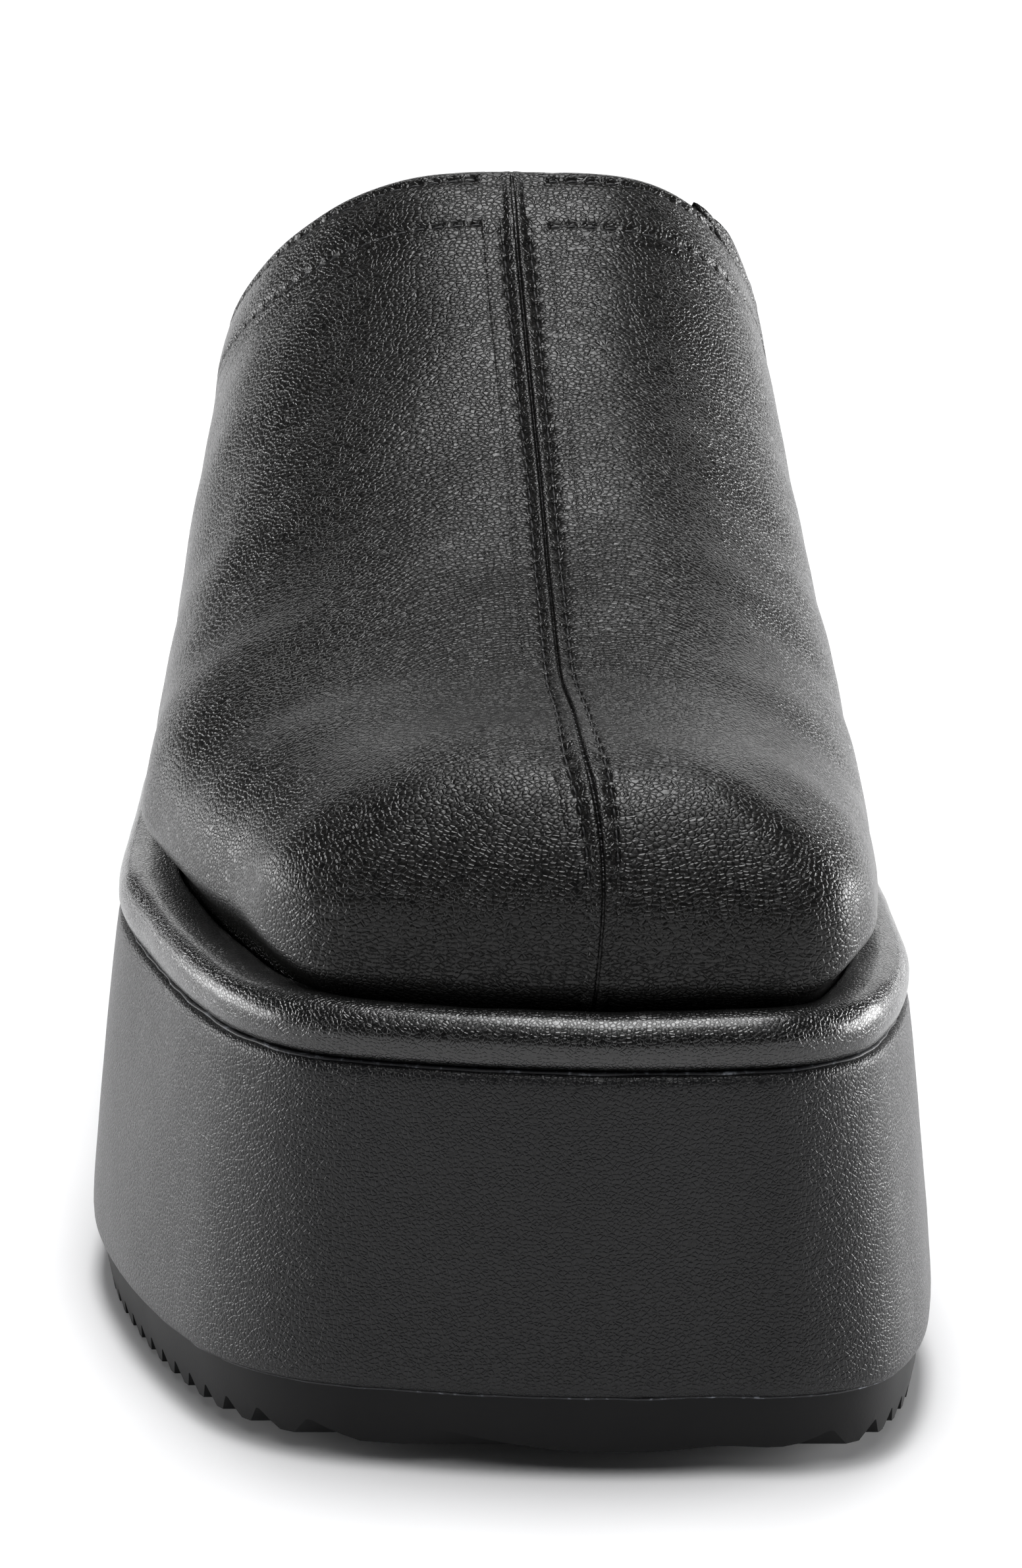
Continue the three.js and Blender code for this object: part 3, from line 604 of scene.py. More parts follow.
# Dried contact cement in the joints: a thin blue-grey skin with pale specks and fluff.
def cementMaterial():
    material, tree, shader, place = newMaterial("contact_cement_dried")
    specks = addNode(
        tree, "ShaderNodeTexNoise", {"Scale": 1000 / 1.3, "Detail": 4.0, "Roughness": 0.7},
        {"Vector": place},
    )
    pale = addNode(
        tree, "ShaderNodeMapRange", {"From Min": 0.56, "From Max": 0.68}, {"Value": specks.outputs["Fac"]}
    )
    finishShader(
        tree, shader, ("#17181c", "#7c8087"), pale.outputs["Result"], (0.5, 0.08), specks.outputs["Fac"],
        {"Roughness": 0.5},
    )
    return material


cementDried = cementMaterial()


# Woven elastic: rubber cores under a black polyester rib, so matt with a fine weft across it.
def elasticMaterial():
    material, tree, shader, place = newMaterial("elastic_ribbed_polyester")
    weft = addNode(
        tree, "ShaderNodeTexWave", {"Scale": 1000 / 0.9 / 6.283, "Distortion": 1.2, "Detail": 1.0},
        {"Vector": place}, bands_direction="Z",
    )
    fluff = addNode(tree, "ShaderNodeTexNoise", {"Scale": 1000 / 0.35, "Detail": 2.0}, {"Vector": place})
    finishShader(
        tree, shader, ("#161617", "#37373a"), fluff.outputs["Fac"], (0.4, 0.06), weft.outputs["Fac"],
        {"Roughness": 0.8, "Sheen Weight": 0.25},
    )
    return material


elasticBlack = elasticMaterial()
print("materials made")


def dress(piece, material, slot, *nodes):
    piece.data.materials.clear()
    piece.data.materials.append(material)
    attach(piece, "root")
    if nodes:
        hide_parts(*nodes)
    return piece


def triangleCount(piece):
    return sum(len(face.vertices) - 2 for face in piece.data.polygons)


# Outline stations round the whole shoe, evenly spaced, as hand and along arrays.
def roundStations(count):
    shares = np.linspace(0, 1, 4001)
    line = outlineAt(shares)
    length = lengthAlong(line)
    even = np.interp(np.arange(count) / count * length[-1], length, shares)
    hand = np.where(even <= 0.5, outer, inner)
    along = np.where(even <= 0.5, even * 2, (1 - even) * 2)
    return hand, along


# A ring of points round the outline at an inset, its height from a function of back.
def outlineRing(hand, along, inset, height):
    p = edgePoint(hand, along, inset)
    return np.column_stack([p, height(p[:, 1])])


# Rubber sole: a block that follows the tread's toe spring, cut by a groove at every pitch.
soleSizes = {
    "thickness": 7.7, "inset": 0.6, "draft": 0.8, "pitch": 4.6, "depth": 2.2, "tip": 1.3,
    "footRound": 0.6, "stations": 300, "rootRound": 0.35, "edgeBreak": 0.35,
}


# A closed solid from rings round the outline, its ends closed with strips across the shoe.
def ringSolid(name, rings, **options):
    sections = np.array(rings)
    count = sections.shape[1]
    points, faces = skinSections(sections, closedAlong=False, caps=False)
    last = (len(rings) - 1) * count
    for start in (0, last):
        ids = list(range(start, start + count))
        for k in range(count // 2):
            a, b = ids[k], ids[k + 1]
            c, d = ids[(count - k - 1) % count], ids[(count - k) % count]
            face = [v for n, v in enumerate([a, b, c, d]) if v not in [a, b, c, d][:n]]
            if len(face) > 2:
                faces.append(face)
    return makePiece(name, points, faces, **options)


# A node tree from geometry to geometry, with its other inputs' names and kinds.
def newTree(name, inputs):
    tree = bpy.data.node_groups.new(name, "GeometryNodeTree")
    for label, kind in {"Geometry": "Geometry", **inputs}.items():
        tree.interface.new_socket(label, in_out="INPUT", socket_type="NodeSocket" + kind)
    tree.interface.new_socket("Geometry", in_out="OUTPUT", socket_type="NodeSocketGeometry")
    return tree, addNode(tree, "NodeGroupInput").outputs


# Points at every pitch along a line, and the line's direction there.
def pitchPoints(tree, line, pitch):
    curve = addNode(tree, "GeometryNodeMeshToCurve", links={"Mesh": line})
    even = addNode(
        tree, "GeometryNodeResampleCurve", mode="LENGTH",
        links={"Curve": curve.outputs["Curve"], "Length": pitch},
    )
    return even.outputs["Curve"], addNode(tree, "GeometryNodeInputTangent").outputs["Tangent"]


def endTree(tree, geometry, material):
    dressed = addNode(tree, "GeometryNodeSetMaterial", links={"Geometry": geometry, "Material": material})
    addNode(tree, "NodeGroupOutput", links={"Geometry": dressed.outputs["Geometry"]})
    return tree


def grooveTree():
    inputs = {"Tread line": "Object", "Cutter": "Object", "Pitch": "Float", "Rubber": "Material"}
    tree, given = newTree("treadGrooves", inputs)
    line = addNode(tree, "GeometryNodeObjectInfo", links={"Object": given["Tread line"]})
    cutter = addNode(tree, "GeometryNodeObjectInfo", links={"Object": given["Cutter"]})
    even, tangent = pitchPoints(tree, line.outputs["Geometry"], given["Pitch"])
    turned = addNode(
        tree, "FunctionNodeAlignRotationToVector", links={"Vector": tangent}, axis="Y", pivot_axis="X"
    )
    grooves = addNode(
        tree, "GeometryNodeInstanceOnPoints",
        links={"Points": even, "Instance": cutter.outputs["Geometry"],
               "Rotation": turned.outputs["Rotation"]},
    )
    solid = addNode(
        tree, "GeometryNodeRealizeInstances", links={"Geometry": grooves.outputs["Instances"]}
    )
    cut = addNode(tree, "GeometryNodeMeshBoolean", operation="DIFFERENCE", solver="EXACT")
    tree.links.new(given["Geometry"], cut.inputs["Mesh 1"])
    tree.links.new(solid.outputs["Geometry"], cut.inputs["Mesh 2"])
    whole = addNode(tree, "GeometryNodeRealizeInstances", links={"Geometry": cut.outputs["Mesh"]})
    return endTree(tree, whole.outputs["Geometry"], given["Rubber"])


# The mesh that an object's modifiers give. The modifiers are removed.
def grownMesh(source, name):
    bpy.context.view_layer.update()
    mesh = bpy.data.meshes.new_from_object(source.evaluated_get(bpy.context.evaluated_depsgraph_get()))
    source.modifiers.clear()
    mesh.name = name
    return mesh


# Runs a node tree on an object with values for its named inputs, and keeps the plain mesh.
def growWith(tree, source, values, name):
    modifier = source.modifiers.new("grow", "NODES")
    modifier.node_group = tree
    given = [item for item in tree.interface.items_tree if item.item_type == "SOCKET"]
    sockets = {item.name: item.identifier for item in given if item.in_out == "INPUT"}
    for label, value in values.items():
        modifier[sockets[label]] = value
    piece = addObject(name, grownMesh(source, name))
    bpy.data.objects.remove(source)
    return piece


def makeSole():
    s = soleSizes
    hand, along = roundStations(s["stations"])
    flare = wrapSizes["flare"] * rimValue(hand, along, "flare")
    foot = s["footRound"] + s["inset"] - flare
    thick = s["thickness"] - form["clearance"]
    rings = []
    for up in (0.0, 0.5, 0.93, 1.0):
        inset = foot + s["draft"] * (1 - up) + (0 if up else s["edgeBreak"])
        rings.append(outlineRing(hand, along, inset, lambda back, up=up: treadHeight(back) + up * thick))
    block = ringSolid("soleBlock", rings)
    backs = np.linspace(-3.2, form["shoeLength"] + 4, 400)
    start = -0.5 * (s["pitch"] - s["tip"])
    backs = backs[backs > start]
    line = bpy.data.meshes.new("treadLine")
    points = inFrame(np.column_stack([np.zeros_like(backs), backs, treadHeight(backs)]))
    line.from_pydata(points.tolist(), [(i, i + 1) for i in range(len(points) - 1)], [])
    lineObject = addObject("treadLine", line)
    # V cutter with a rounded root, a bit deeper than the tread so its mouth is clean
    flank = (s["pitch"] - s["tip"]) / 2
    profile = [(-flank * 1.3, -0.3 * s["depth"]), (flank * 1.3, -0.3 * s["depth"])]
    for k in range(5):
        a = math.pi * (0.1 + 0.8 * k / 4)
        profile.append((s["rootRound"] * math.cos(a), s["depth"] - s["rootRound"] * (1 - math.sin(a))))
    sections = np.array([[(x, y, z) for y, z in profile] for x in (-70.0, 70.0)]) / 1000
    cutterPoints, cutterFaces = skinSections(sections, closedAlong=False)
    cutterMesh = bpy.data.meshes.new("grooveCutter")
    cutterMesh.from_pydata(cutterPoints.tolist(), [], cutterFaces)
    cutter = addObject("grooveCutter", cutterMesh)
    given = {"Tread line": lineObject, "Cutter": cutter, "Pitch": s["pitch"] / 1000, "Rubber": soleRubber}
    sole = growWith(grooveTree(), block, given, "rubberSole")
    for helper in (lineObject, cutter):
        bpy.data.objects.remove(helper)
    sole.data.set_sharp_from_angle(angle=math.radians(28))
    return dress(sole, soleRubber, "outsole_rubber", "outsole")


# Platform: the block's leather wrap, flared at its foot and turned under there.
wrapSizes = {
    "flare": 3.2, "footRound": 0.6, "stations": 420,
    # up the wall, share of the flare, share of the foot's round turned in
    "wall": [(0.0, 1.0, 1.0), (0.008, 1.0, 0.45), (0.02, 1.0, 0.12), (0.05, 1.0, 0.0), (0.25, 0.86, 0.0),
             (0.5, 0.6, 0.0), (0.8, 0.25, 0.0), (0.97, 0.03, 0.0), (0.992, 0.0, 0.3), (1.0, 0.0, 0.9)],
    "pucker": 0.05,  # mm, unevenness of the hide over the block
}


def makePlatform():
    w = wrapSizes
    hand, along = roundStations(w["stations"])
    up, flare, turned = (np.array(column) for column in zip(*w["wall"]))
    levels = np.unique(np.concatenate([up, np.linspace(0.05, 0.97, 34)]))
    flareAt, turnedAt = smoothTable(up, flare), np.interp(levels, up, turned)
    rings = []
    for level, turnedIn in zip(levels, turnedAt):

        def wallHeight(back, level=level):
            return platformFoot(back) + (deckHeight(back) - platformFoot(back)) * level

        inset = turnedIn * w["footRound"] - flareAt(level) * w["flare"] * rimValue(hand, along, "flare")
        ring = outlineRing(hand, along, inset, wallHeight)
        waves = softNoise(ring, 34, 3) * w["pucker"] + softNoise(ring, 11, 4) * w["pucker"] * 0.35
        rings.append(outlineRing(hand, along, inset - waves * min(1, 12 * level * (1 - level)), wallHeight))
    piece = ringSolid("platformWrap", rings)
    return dress(piece, platformLeather, "platform_leather", "platform")


# Cement that shows in the joints: over the sole, and under the rand.
jointSizes = {
    "wide": 0.9, "tall": 0.5, "stations": 300, "ragged": 0.12, "soleInset": 0.85, "randInset": 0.9,
}


def jointRing(name, insetOf, heightOf):
    j = jointSizes
    hand, along = roundStations(j["stations"])
    base = insetOf(hand, along)
    sections = []
    shape = [(0.0, -0.25), (-0.06, 0.0), (0.0, 0.25), (0.25, 0.5), (1.0, 0.5), (1.0, -0.5), (0.25, -0.5)]
    ringPoints = outlineRing(hand, along, base, heightOf)
    rag = softNoise(ringPoints, 6, 8) * j["ragged"]
    for inside, up in shape:
        p = edgePoint(hand, along, base + inside * j["wide"] + (rag if inside < 0.5 else 0))
        sections.append(np.column_stack([p, heightOf(p[:, 1]) + up * j["tall"]]))
    return linePiece(name, sections, closedAlong=True)


def makeJoints():
    j = jointSizes
    low = jointRing(
        "soleCement",
        lambda hand, along: j["soleInset"] - wrapSizes["flare"] * rimValue(hand, along, "flare"),
        lambda back: platformFoot(back) - form["clearance"] / 2,
    )
    high = jointRing(
        "randCement", lambda hand, along: np.full_like(along, j["randInset"]),
        lambda back: deckHeight(back) + form["clearance"] * 0.4,
    )
    for joint in (low, high):
        dress(joint, cementDried, "platform_leather")


# Rand: the padded leather roll on the platform's edge.
randSizes = {
    "stations": 420, "sectionPoints": 30,
    # in by rand widths, up by rand heights
    "section": [(0.3, 0.0), (0.65, 0.0), (0.97, 0.02), (1.0, 0.35), (0.99, 0.8), (0.84, 0.9),
                (0.66, 0.97), (0.48, 1.0), (0.3, 0.98), (0.13, 0.85), (0.02, 0.6), (0.01, 0.3),
                (0.1, 0.06)],
    "uneven": 0.06,
}


def roundSection(rows, count):
    stops = np.array(rows, float)
    size = len(stops)
    at = np.arange(count) / count * size
    first = np.floor(at).astype(int)
    t = (at - first)[:, None]
    p0, p1, p2, p3 = (stops[(first + k) % size] for k in (-1, 0, 1, 2))
    return p1 + 0.5 * t * (p2 - p0 + t * (2 * p0 - 5 * p1 + 4 * p2 - p3 + t * (3 * (p1 - p2) + p3 - p0)))


def makeRand():
    r = randSizes
    hand, along = roundStations(r["stations"])
    width = rollWidth(hand, along)
    rows = []
    for inside, up in roundSection(r["section"], r["sectionPoints"]):
        p = edgePoint(hand, along, inside * width)
        ring = np.column_stack([p, deckHeight(p[:, 1]) + form["clearance"] + up * form["randHeight"]])
        swell = (softNoise(ring, 26, 11) + 0.5 * softNoise(ring, 8, 12)) * r["uneven"]
        p = edgePoint(hand, along, inside * width + (0.5 - inside) * -2 * swell * min(1, 2 * up))
        rows.append(np.column_stack([p, ring[:, 2] + swell * up]))
    piece = linePiece("randRoll", rows, closedAlong=True)
    dress(piece, randLeather, "rand_leather", "rand")


# Insole: the padded sock, crowned at its edge, with a shallow bed for the heel and the ball.
insoleSizes = {
    "thickness": 5.0, "edge": 5.0, "stations": 300, "bed": 0.7,
    # edge's rounding: share of the edge's width inwards, share of the thickness
    "edgeRows": [(0.0, 0.0), (0.0, 0.3), (0.0, 0.62), (0.03, 0.76), (0.1, 0.86), (0.22, 0.925),
                 (0.4, 0.965), (0.65, 0.99), (1.0, 1.0)],
    "heel": (218, 1.0), "ball": (75, 0.6), "reach": 30,  # back and share of the bed's depth
}


def makeInsole():
    s = insoleSizes
    hand, along = roundStations(s["stations"])

    def insetOf(side):
        behind = edgePoint(side, along, 0)[:, 1] - form["upperEndBack"]
        free = smoothstep(behind, 1.5 * form["upperWall"], 5 * form["upperWall"])
        return upperInset(side, along) + (1 - free) * (form["upperWall"] + form["clearance"])

    rim = edgePoint(hand, along, insetOf(hand))
    across = edgePoint(-hand, along, insetOf(-hand))
    toMiddle = (rim + across) / 2 - rim
    reach = np.linalg.norm(toMiddle, axis=1)
    rings = []
    for pull, up in s["edgeRows"]:
        share = np.minimum(0.5, pull * s["edge"] / np.maximum(reach, s["edge"]))
        p = rim + toMiddle * share[:, None]
        rings.append(np.column_stack([p, deckHeight(p[:, 1]) + form["clearance"] + up * s["thickness"]]))
    for inward in (0.3, 0.5, 0.7, 0.85, 0.97):
        edgeShare = np.minimum(0.5, s["edge"] / np.maximum(reach, s["edge"]))
        share = edgeShare + (0.995 - edgeShare) * inward
        p = rim + toMiddle * share[:, None]
        heel, ball = (
            depth * hump(p[:, 1], back, s["reach"]) for back, depth in (s["heel"], s["ball"])
        )
        dip = s["bed"] * smoothstep(share, 0.1, 0.9) * np.maximum(heel, ball)
        rings.append(np.column_stack([p, deckHeight(p[:, 1]) + form["clearance"] + s["thickness"] - dip]))
    piece = ringSolid("insoleSock", rings)
    dress(piece, liningLeather, "insole_leather", "insole")


# Upper: outer leather and lining as two hollow layers, from the same ribs as the part.
upperSizes = {
    # ribs to the collar's peak, ribs behind it, steps up each rib
    "leatherRibs": (150, 48, 80), "liningRibs": (80, 26, 40),
    "leather": 1.25, "edgeBelowCollar": 1.0,
    "seamSink": 0.75, "seamHidden": 4.35, "seamRamp": 2.4, "bandSink": 0.35, "bandHidden": 12.2,
    "bandRamp": 1.8, "middleUp": 12,
}


def ribStations(toPeak, behind):
    fine = np.linspace(0, peakAlong, 900)
    feet = [edgePoint(hand, fine, upperInset(hand, fine)) for hand in (outer, inner)]
    steps = sum(np.linalg.norm(np.diff(foot, axis=0), axis=1) for foot in feet) / 2
    length = np.concatenate([[0], np.cumsum(steps)])
    front = np.interp(np.linspace(0, length[-1], toPeak + 1), length, fine)
    rest = peakAlong + (rearAlong - peakAlong) * (np.arange(1, behind + 1) / behind) ** 1.6
    return np.concatenate([front, rest])


# Turns up each rib, evenly spaced along its length, to the ridge or the collar.
def ribTurns(hand, stations, steps, sink, lift):
    ends = np.full_like(stations, halfPi)
    behind = stations > peakAlong + 1e-9
    ends[behind] = collarTurn(hand, stations[behind], sink, lift)
    shares = np.linspace(0, 1, 121)
    turns = ends[:, None] * shares[None, :]
    dense = upperPoint(hand, stations[:, None], turns, sink)
    lengths = [lengthAlong(rib) for rib in dense]
    even = np.linspace(0, 1, steps + 1)
    return np.array([np.interp(even * row[-1], row, turn) for row, turn in zip(lengths, turns)])


def shellPiece(name, shallow, deep, toPeak, behind, steps, lift, settle=None):
    stations = ribStations(toPeak, behind)
    points, faces, start = [], [], 0
    count, rows = len(stations), steps + 1
    for hand in (outer, inner):
        turns = ribTurns(hand, stations, steps, shallow, lift)
        sheets = [
            upperPoint(hand, stations[:, None], turns, sink).reshape(-1, 3) for sink in (shallow, deep)
        ]
        if settle:
            sheets[0] = settle(sheets[0])
        ids = [start + np.arange(count * rows).reshape(count, rows)]
        ids.append(ids[0] + count * rows)
        start += 2 * count * rows
        points += sheets
        for sheet in ids:
            faces += sheetFaces(sheet)
        a, b = ids
        for edges in ((a[:, 0], b[:, 0]), (a[toPeak:, -1], b[toPeak:, -1]), (a[-1, :], b[-1, :])):
            faces += stripFaces(*edges)
    return makePiece(name, np.concatenate(points), faces, merge=0.002)


# Centre seam's line on the surface as along and turn arrays, from the rand to the collar.
seamSizes = {
    "frontSteps": 120, "ridgeSteps": 330,
    # back from the toe tip along the line (mm of line), half the distance between stitch rows
    "rows": [(0, 1.8), (18, 1.85), (27, 2.1), (34, 2.35), (46, 2.05), (70, 1.65), (100, 1.55),
             (135, 1.7), (170, 1.75)],
    # share of the half width, height: groove, rib, valley of the stitches
    "profile": [(0, -0.3), (0.04, -0.21), (0.09, 0.26), (0.16, 0.41), (0.28, 0.46), (0.44, 0.42),
                (0.58, 0.32), (0.72, 0.19), (0.86, 0.08), (1.06, -0.02), (1.15, 0.03), (1.22, 0.06)],
    "valley": 0.02, "pucker": 0.12,
    # strip's outer edge: out past the margin, height
    "edge": [(-1.1, 0.05), (-0.8, 0.035), (-0.4, 0.012), (0.0, -0.03), (0.5, -0.3)],
    "pitch": 2.85, "hole": 0.42, "holeSize": 0.85, "underside": 0.95, "topRise": 0.25,
    "columns": 10, "columnPitch": 0.5, "margin": 4.4,  # columns on each side, half the strip's width
    "crownPull": (36, 9.0), "wrinkle": 0.07,  # where the wrinkles are deepest along the line, and how wide
    "ticksTo": 52.0, "tickPitch": 1.4, "tickSink": 0.28,
}


def seamLine():
    s = seamSizes
    foot, top = upperPoint(outer, 0.0, 0.0)[2], ridgeHeight(ribBack(0.0), 0)
    start = math.atan((form["randHeight"] - 1.0) / (top - foot))
    frontTurn = np.linspace(start, halfPi, s["frontSteps"])
    backs = np.linspace(float(ribBack(0.0)), form["collarBack"] - 1.25, s["ridgeSteps"] + 1)[1:]
    ridgeAlong = np.interp(backs, ribBack(alongFine), alongFine)
    along = np.concatenate([np.zeros_like(frontTurn), ridgeAlong])
    turn = np.concatenate([frontTurn, np.full_like(ridgeAlong, halfPi)])
    length = lengthAlong(upperPoint(outer, along, turn))
    even = np.linspace(0, length[-1], s["frontSteps"] + s["ridgeSteps"])
    return np.interp(even, length, along), np.interp(even, length, turn), even


seamAlong, seamTurn, seamLength = seamLine()
seamPoints = upperPoint(outer, seamAlong, seamTurn)
seamHalf = smoothTable(*zip(*seamSizes["rows"]))(seamLength)
seamTangent = unit(np.gradient(seamPoints, axis=0))

# Collar's edge as one line from the outer rear end over the peak to the inner rear end.
bandSizes = {
    "steps": 300, "width": 10.9, "raise": 0.25, "wallHalf": 1.15,
    "edgeRow": 2.0, "lowerRow": 10.1, "pitch": 2.5, "dent": 0.3, "dentSize": 0.85, "dentWidth": 0.42,
    "betweenRise": 0.08, "threadSink": 0.3,
    # rows end this far from the seam and the gore, and where the band is narrower than this share
    "seamFree": 2.4, "goreFree": 3.2, "sewnFit": 0.6,
    "offsets": [0.7, 1.35, 1.65, 2.0, 2.35, 2.7, 3.4, 4.0, 5.2, 6.5, 7.8, 8.8, 9.35, 9.75, 10.1, 10.45,
                10.9, 11.5, 12.1, 12.7],
    # distance from the edge, height: a groove at each stitch row
    "profile": [(0, 0.25), (1.3, 0.27), (1.65, 0.12), (2.0, -0.05), (2.35, 0.12), (3.2, 0.28), (6.0, 0.38),
                (8.8, 0.32), (9.7, 0.14), (10.1, -0.05), (10.5, 0.08), (10.9, 0.16), (11.5, 0.08),
                (12.1, 0.0), (12.7, -0.25)],
}
collarShares = np.linspace(0, 1, bandSizes["steps"] + 1)
collarAlongs = peakAlong + (rearAlong - peakAlong) * collarShares**1.7


def collarLine(hand):
    turn = collarTurn(hand, np.maximum(collarAlongs, peakAlong + 1e-6))
    turn[0] = halfPi
    length = lengthAlong(upperPoint(hand, collarAlongs, turn))
    even = np.linspace(0, length[-1], len(length))
    along, turn = np.interp(even, length, collarAlongs), np.interp(even, length, turn)
    return along, turn, upperPoint(hand, along, turn)


collarLines = {hand: collarLine(hand) for hand in (outer, inner)}
seamTree = nearTree(seamPoints)
collarTree = nearTree(np.concatenate([collarLines[hand][2] for hand in (outer, inner)]))


# The leather is sunk a little where the seam and the collar band lie on it.
def settleUpper(points):
    u = upperSizes
    drop = np.zeros(len(points))
    for name, tree in (("seam", seamTree), ("band", collarTree)):
        hidden, ramp = u[name + "Hidden"], u[name + "Ramp"]
        near = 1 - smoothstep(distancesTo(tree, points), hidden - ramp, hidden)
        drop = np.maximum(drop, u[name + "Sink"] * near)
    middle = np.column_stack([points[:, 0] * 0, points[:, 1], deckHeight(points[:, 1]) + u["middleUp"]])
    return points + unit(middle - points) * drop[:, None]


def makeUpper():
    u = upperSizes
    lift = -u["edgeBelowCollar"]
    leather = shellPiece("upperLeather", 0.0, u["leather"], *u["leatherRibs"], lift, settle=settleUpper)
    lining = shellPiece("upperLining", u["leather"] + 0.03, form["upperWall"], *u["liningRibs"], lift)
    return leather, lining


def surfaceGrid(alongSpan, turnSpan):
    grid = np.meshgrid(np.linspace(*alongSpan), np.linspace(*turnSpan))
    return [part.ravel() for part in grid]


# Nearest places on one side's surface to some points, from a fine grid and damped steps.
def nearestOn(hand, wanted, tree, gridAlong, gridTurn):
    near = [tree.find(p)[1] for p in wanted]
    along, turn = gridAlong[near], gridTurn[near]
    for _ in range(8):
        byAlong, byTurn, _ = surfaceFrame(hand, along, turn)
        miss = wanted - upperPoint(hand, along, turn)
        aa, ab, bb = dots((byAlong, byAlong), (byAlong, byTurn), (byTurn, byTurn))
        am, bm = dots((byAlong, miss), (byTurn, miss))
        aa, bb = aa * 1.01 + 40, bb * 1.01 + 4  # damping, where the two steps run nearly alike
        det = aa * bb - ab * ab
        along = np.clip(along + np.clip((bb * am - ab * bm) / det, -0.01, 0.01), 0, 1)
        turn = np.clip(turn + np.clip((aa * bm - ab * am) / det, -0.03, 0.03), 0, halfPi)
    return upperPoint(hand, along, turn)


# Surface across the seam, in columns from the outer to the inner side.
def seamField():
    s = seamSizes
    across = []
    for hand in (outer, inner):
        gridAlong, gridTurn = surfaceGrid((0, peakAlong + 0.02, 260), (0.05, halfPi, 150))
        tree = nearTree(upperPoint(hand, gridAlong, gridTurn))
        heading = np.zeros_like(seamPoints)
        heading[:, 0] = hand
        here, columns = seamPoints, [seamPoints]
        for _ in range(s["columns"]):
            heading = unit(heading - seamTangent * dots((heading, seamTangent))[0][:, None])
            ahead = nearestOn(hand, here + heading * s["columnPitch"], tree, gridAlong, gridTurn)
            heading, here = ahead - here, ahead
            columns.append(ahead)
        across.append(columns)
    grid = np.array(across[0][:0:-1] + across[1])
    for _ in range(4):
        grid[:, 1:-1] = (grid[:, :-2] + 2 * grid[:, 1:-1] + grid[:, 2:]) / 4
        grid[1:-1] = (grid[:-2] + 6 * grid[1:-1] + grid[2:]) / 8
    return grid, unit(np.cross(np.gradient(grid, axis=0), np.gradient(grid, axis=1)))


# Points and normals at one offset from the seam for every station.
def besideSeam(field, offset):
    s = seamSizes
    at = offset / s["columnPitch"] + s["columns"]
    low = np.clip(np.floor(at).astype(int), 0, 2 * s["columns"] - 1)
    share, rows = (at - low)[:, None], np.arange(len(at))
    return [part[low, rows] * (1 - share) + part[low + 1, rows] * share for part in field]


# Profile across the seam: a groove, a rounded rib and the valley where the stitches lie.
def makeSeam():
    s = seamSizes
    shares = [0, 0.04, 0.08, 0.14, 0.22, 0.32, 0.43, 0.54, 0.66, 0.78, 0.88, 0.94, 1.0, 1.06, 1.13, 1.22]
    heights = smoothTable(*zip(*s["profile"]))
    toEnd = seamLength[-1] - seamLength
    sewn = toEnd > bandSizes["lowerRow"] - 0.6  # the band covers the rows' ends
    nearTop = smoothstep(toEnd, bandSizes["lowerRow"] + 0.6, bandSizes["lowerRow"] - 0.4)
    crownPull = hump(seamLength, *s["crownPull"])
    field = seamField()
    rows, over = {}, []
    topFade = 1 - 0.75 * smoothstep(toEnd, 5.0, 0.5)
    for hand in (outer, inner):
        columns = [(share * seamHalf, heights(share), share) for share in shares]
        columns += [(np.full_like(seamHalf, s["margin"] + out), up, 9) for out, up in s["edge"]]
        line, lineNormal = besideSeam(field, seamHalf * hand)
        rowLength = lengthAlong(line)
        sewnLength = rowLength[sewn][-1]
        phase = (rowLength / (sewnLength / math.floor(sewnLength / s["pitch"]))) % 1
        dash = np.exp(-((np.minimum(phase, 1 - phase) * s["pitch"] / s["holeSize"]) ** 4)) * sewn
        half = []
        for offset, lift, share in columns:
            base, normal = besideSeam(field, offset * hand)
            ripple = softNoise(base, 2.2, 20 + hand)
            puff = s["pucker"] * hump(share, 0.78, 0.26) * np.cos(2 * math.pi * phase)
            wrinkle = s["wrinkle"] * ripple * (0.25 + crownPull) * hump(share, 0.55, 0.35)
            dent = s["hole"] * dash * hump(share, 1.0, 0.1)
            height = (lift - puff * sewn + wrinkle) * topFade - dent
            # all but the groove and the strip's outer edge rises over the band
            height = height + s["topRise"] * nearTop * (lift > -0.24)
            half.append(base + normal * height[:, None])
        over.append(half)
        rows[hand] = ((line - lineNormal * (s["valley"] + s["hole"] * 0.7))[sewn], lineNormal[sewn])
    under = []
    for offset in (s["margin"], 1.0, 0.0, -1.0, -s["margin"]):
        base, normal = besideSeam(field, np.full_like(seamHalf, offset))
        under.append(base - normal * s["underside"])
    sections = np.array(over[0][:0:-1] + over[1] + under).transpose(1, 0, 2)
    # the end rolls over the collar's edge
    centre = seamPoints[-1] - field[1][s["columns"], -1] * bandSizes["wallHalf"]
    rolled = []
    for k in range(1, 9):
        turn, spread = math.radians(13 * k), sections[-1] - centre
        y = spread[:, 1] * math.cos(turn) + spread[:, 2] * math.sin(turn)
        z = spread[:, 2] * math.cos(turn) - spread[:, 1] * math.sin(turn)
        rolled.append(centre + np.column_stack([spread[:, 0], y, z]))
    piece = skinPiece("centreSeam", np.concatenate([sections, rolled]))
    return piece, rows, besideSeam(field, np.zeros_like(seamHalf))


# Unbroken runs of stations that are kept, as lists of their numbers.
def runsOf(keep, shortest=12):
    runs, current = [], []
    for i, good in enumerate([*keep, False]):
        if good:
            current.append(i)
            continue
        if len(current) >= shortest:
            runs.append(current)
        current = []
    return runs


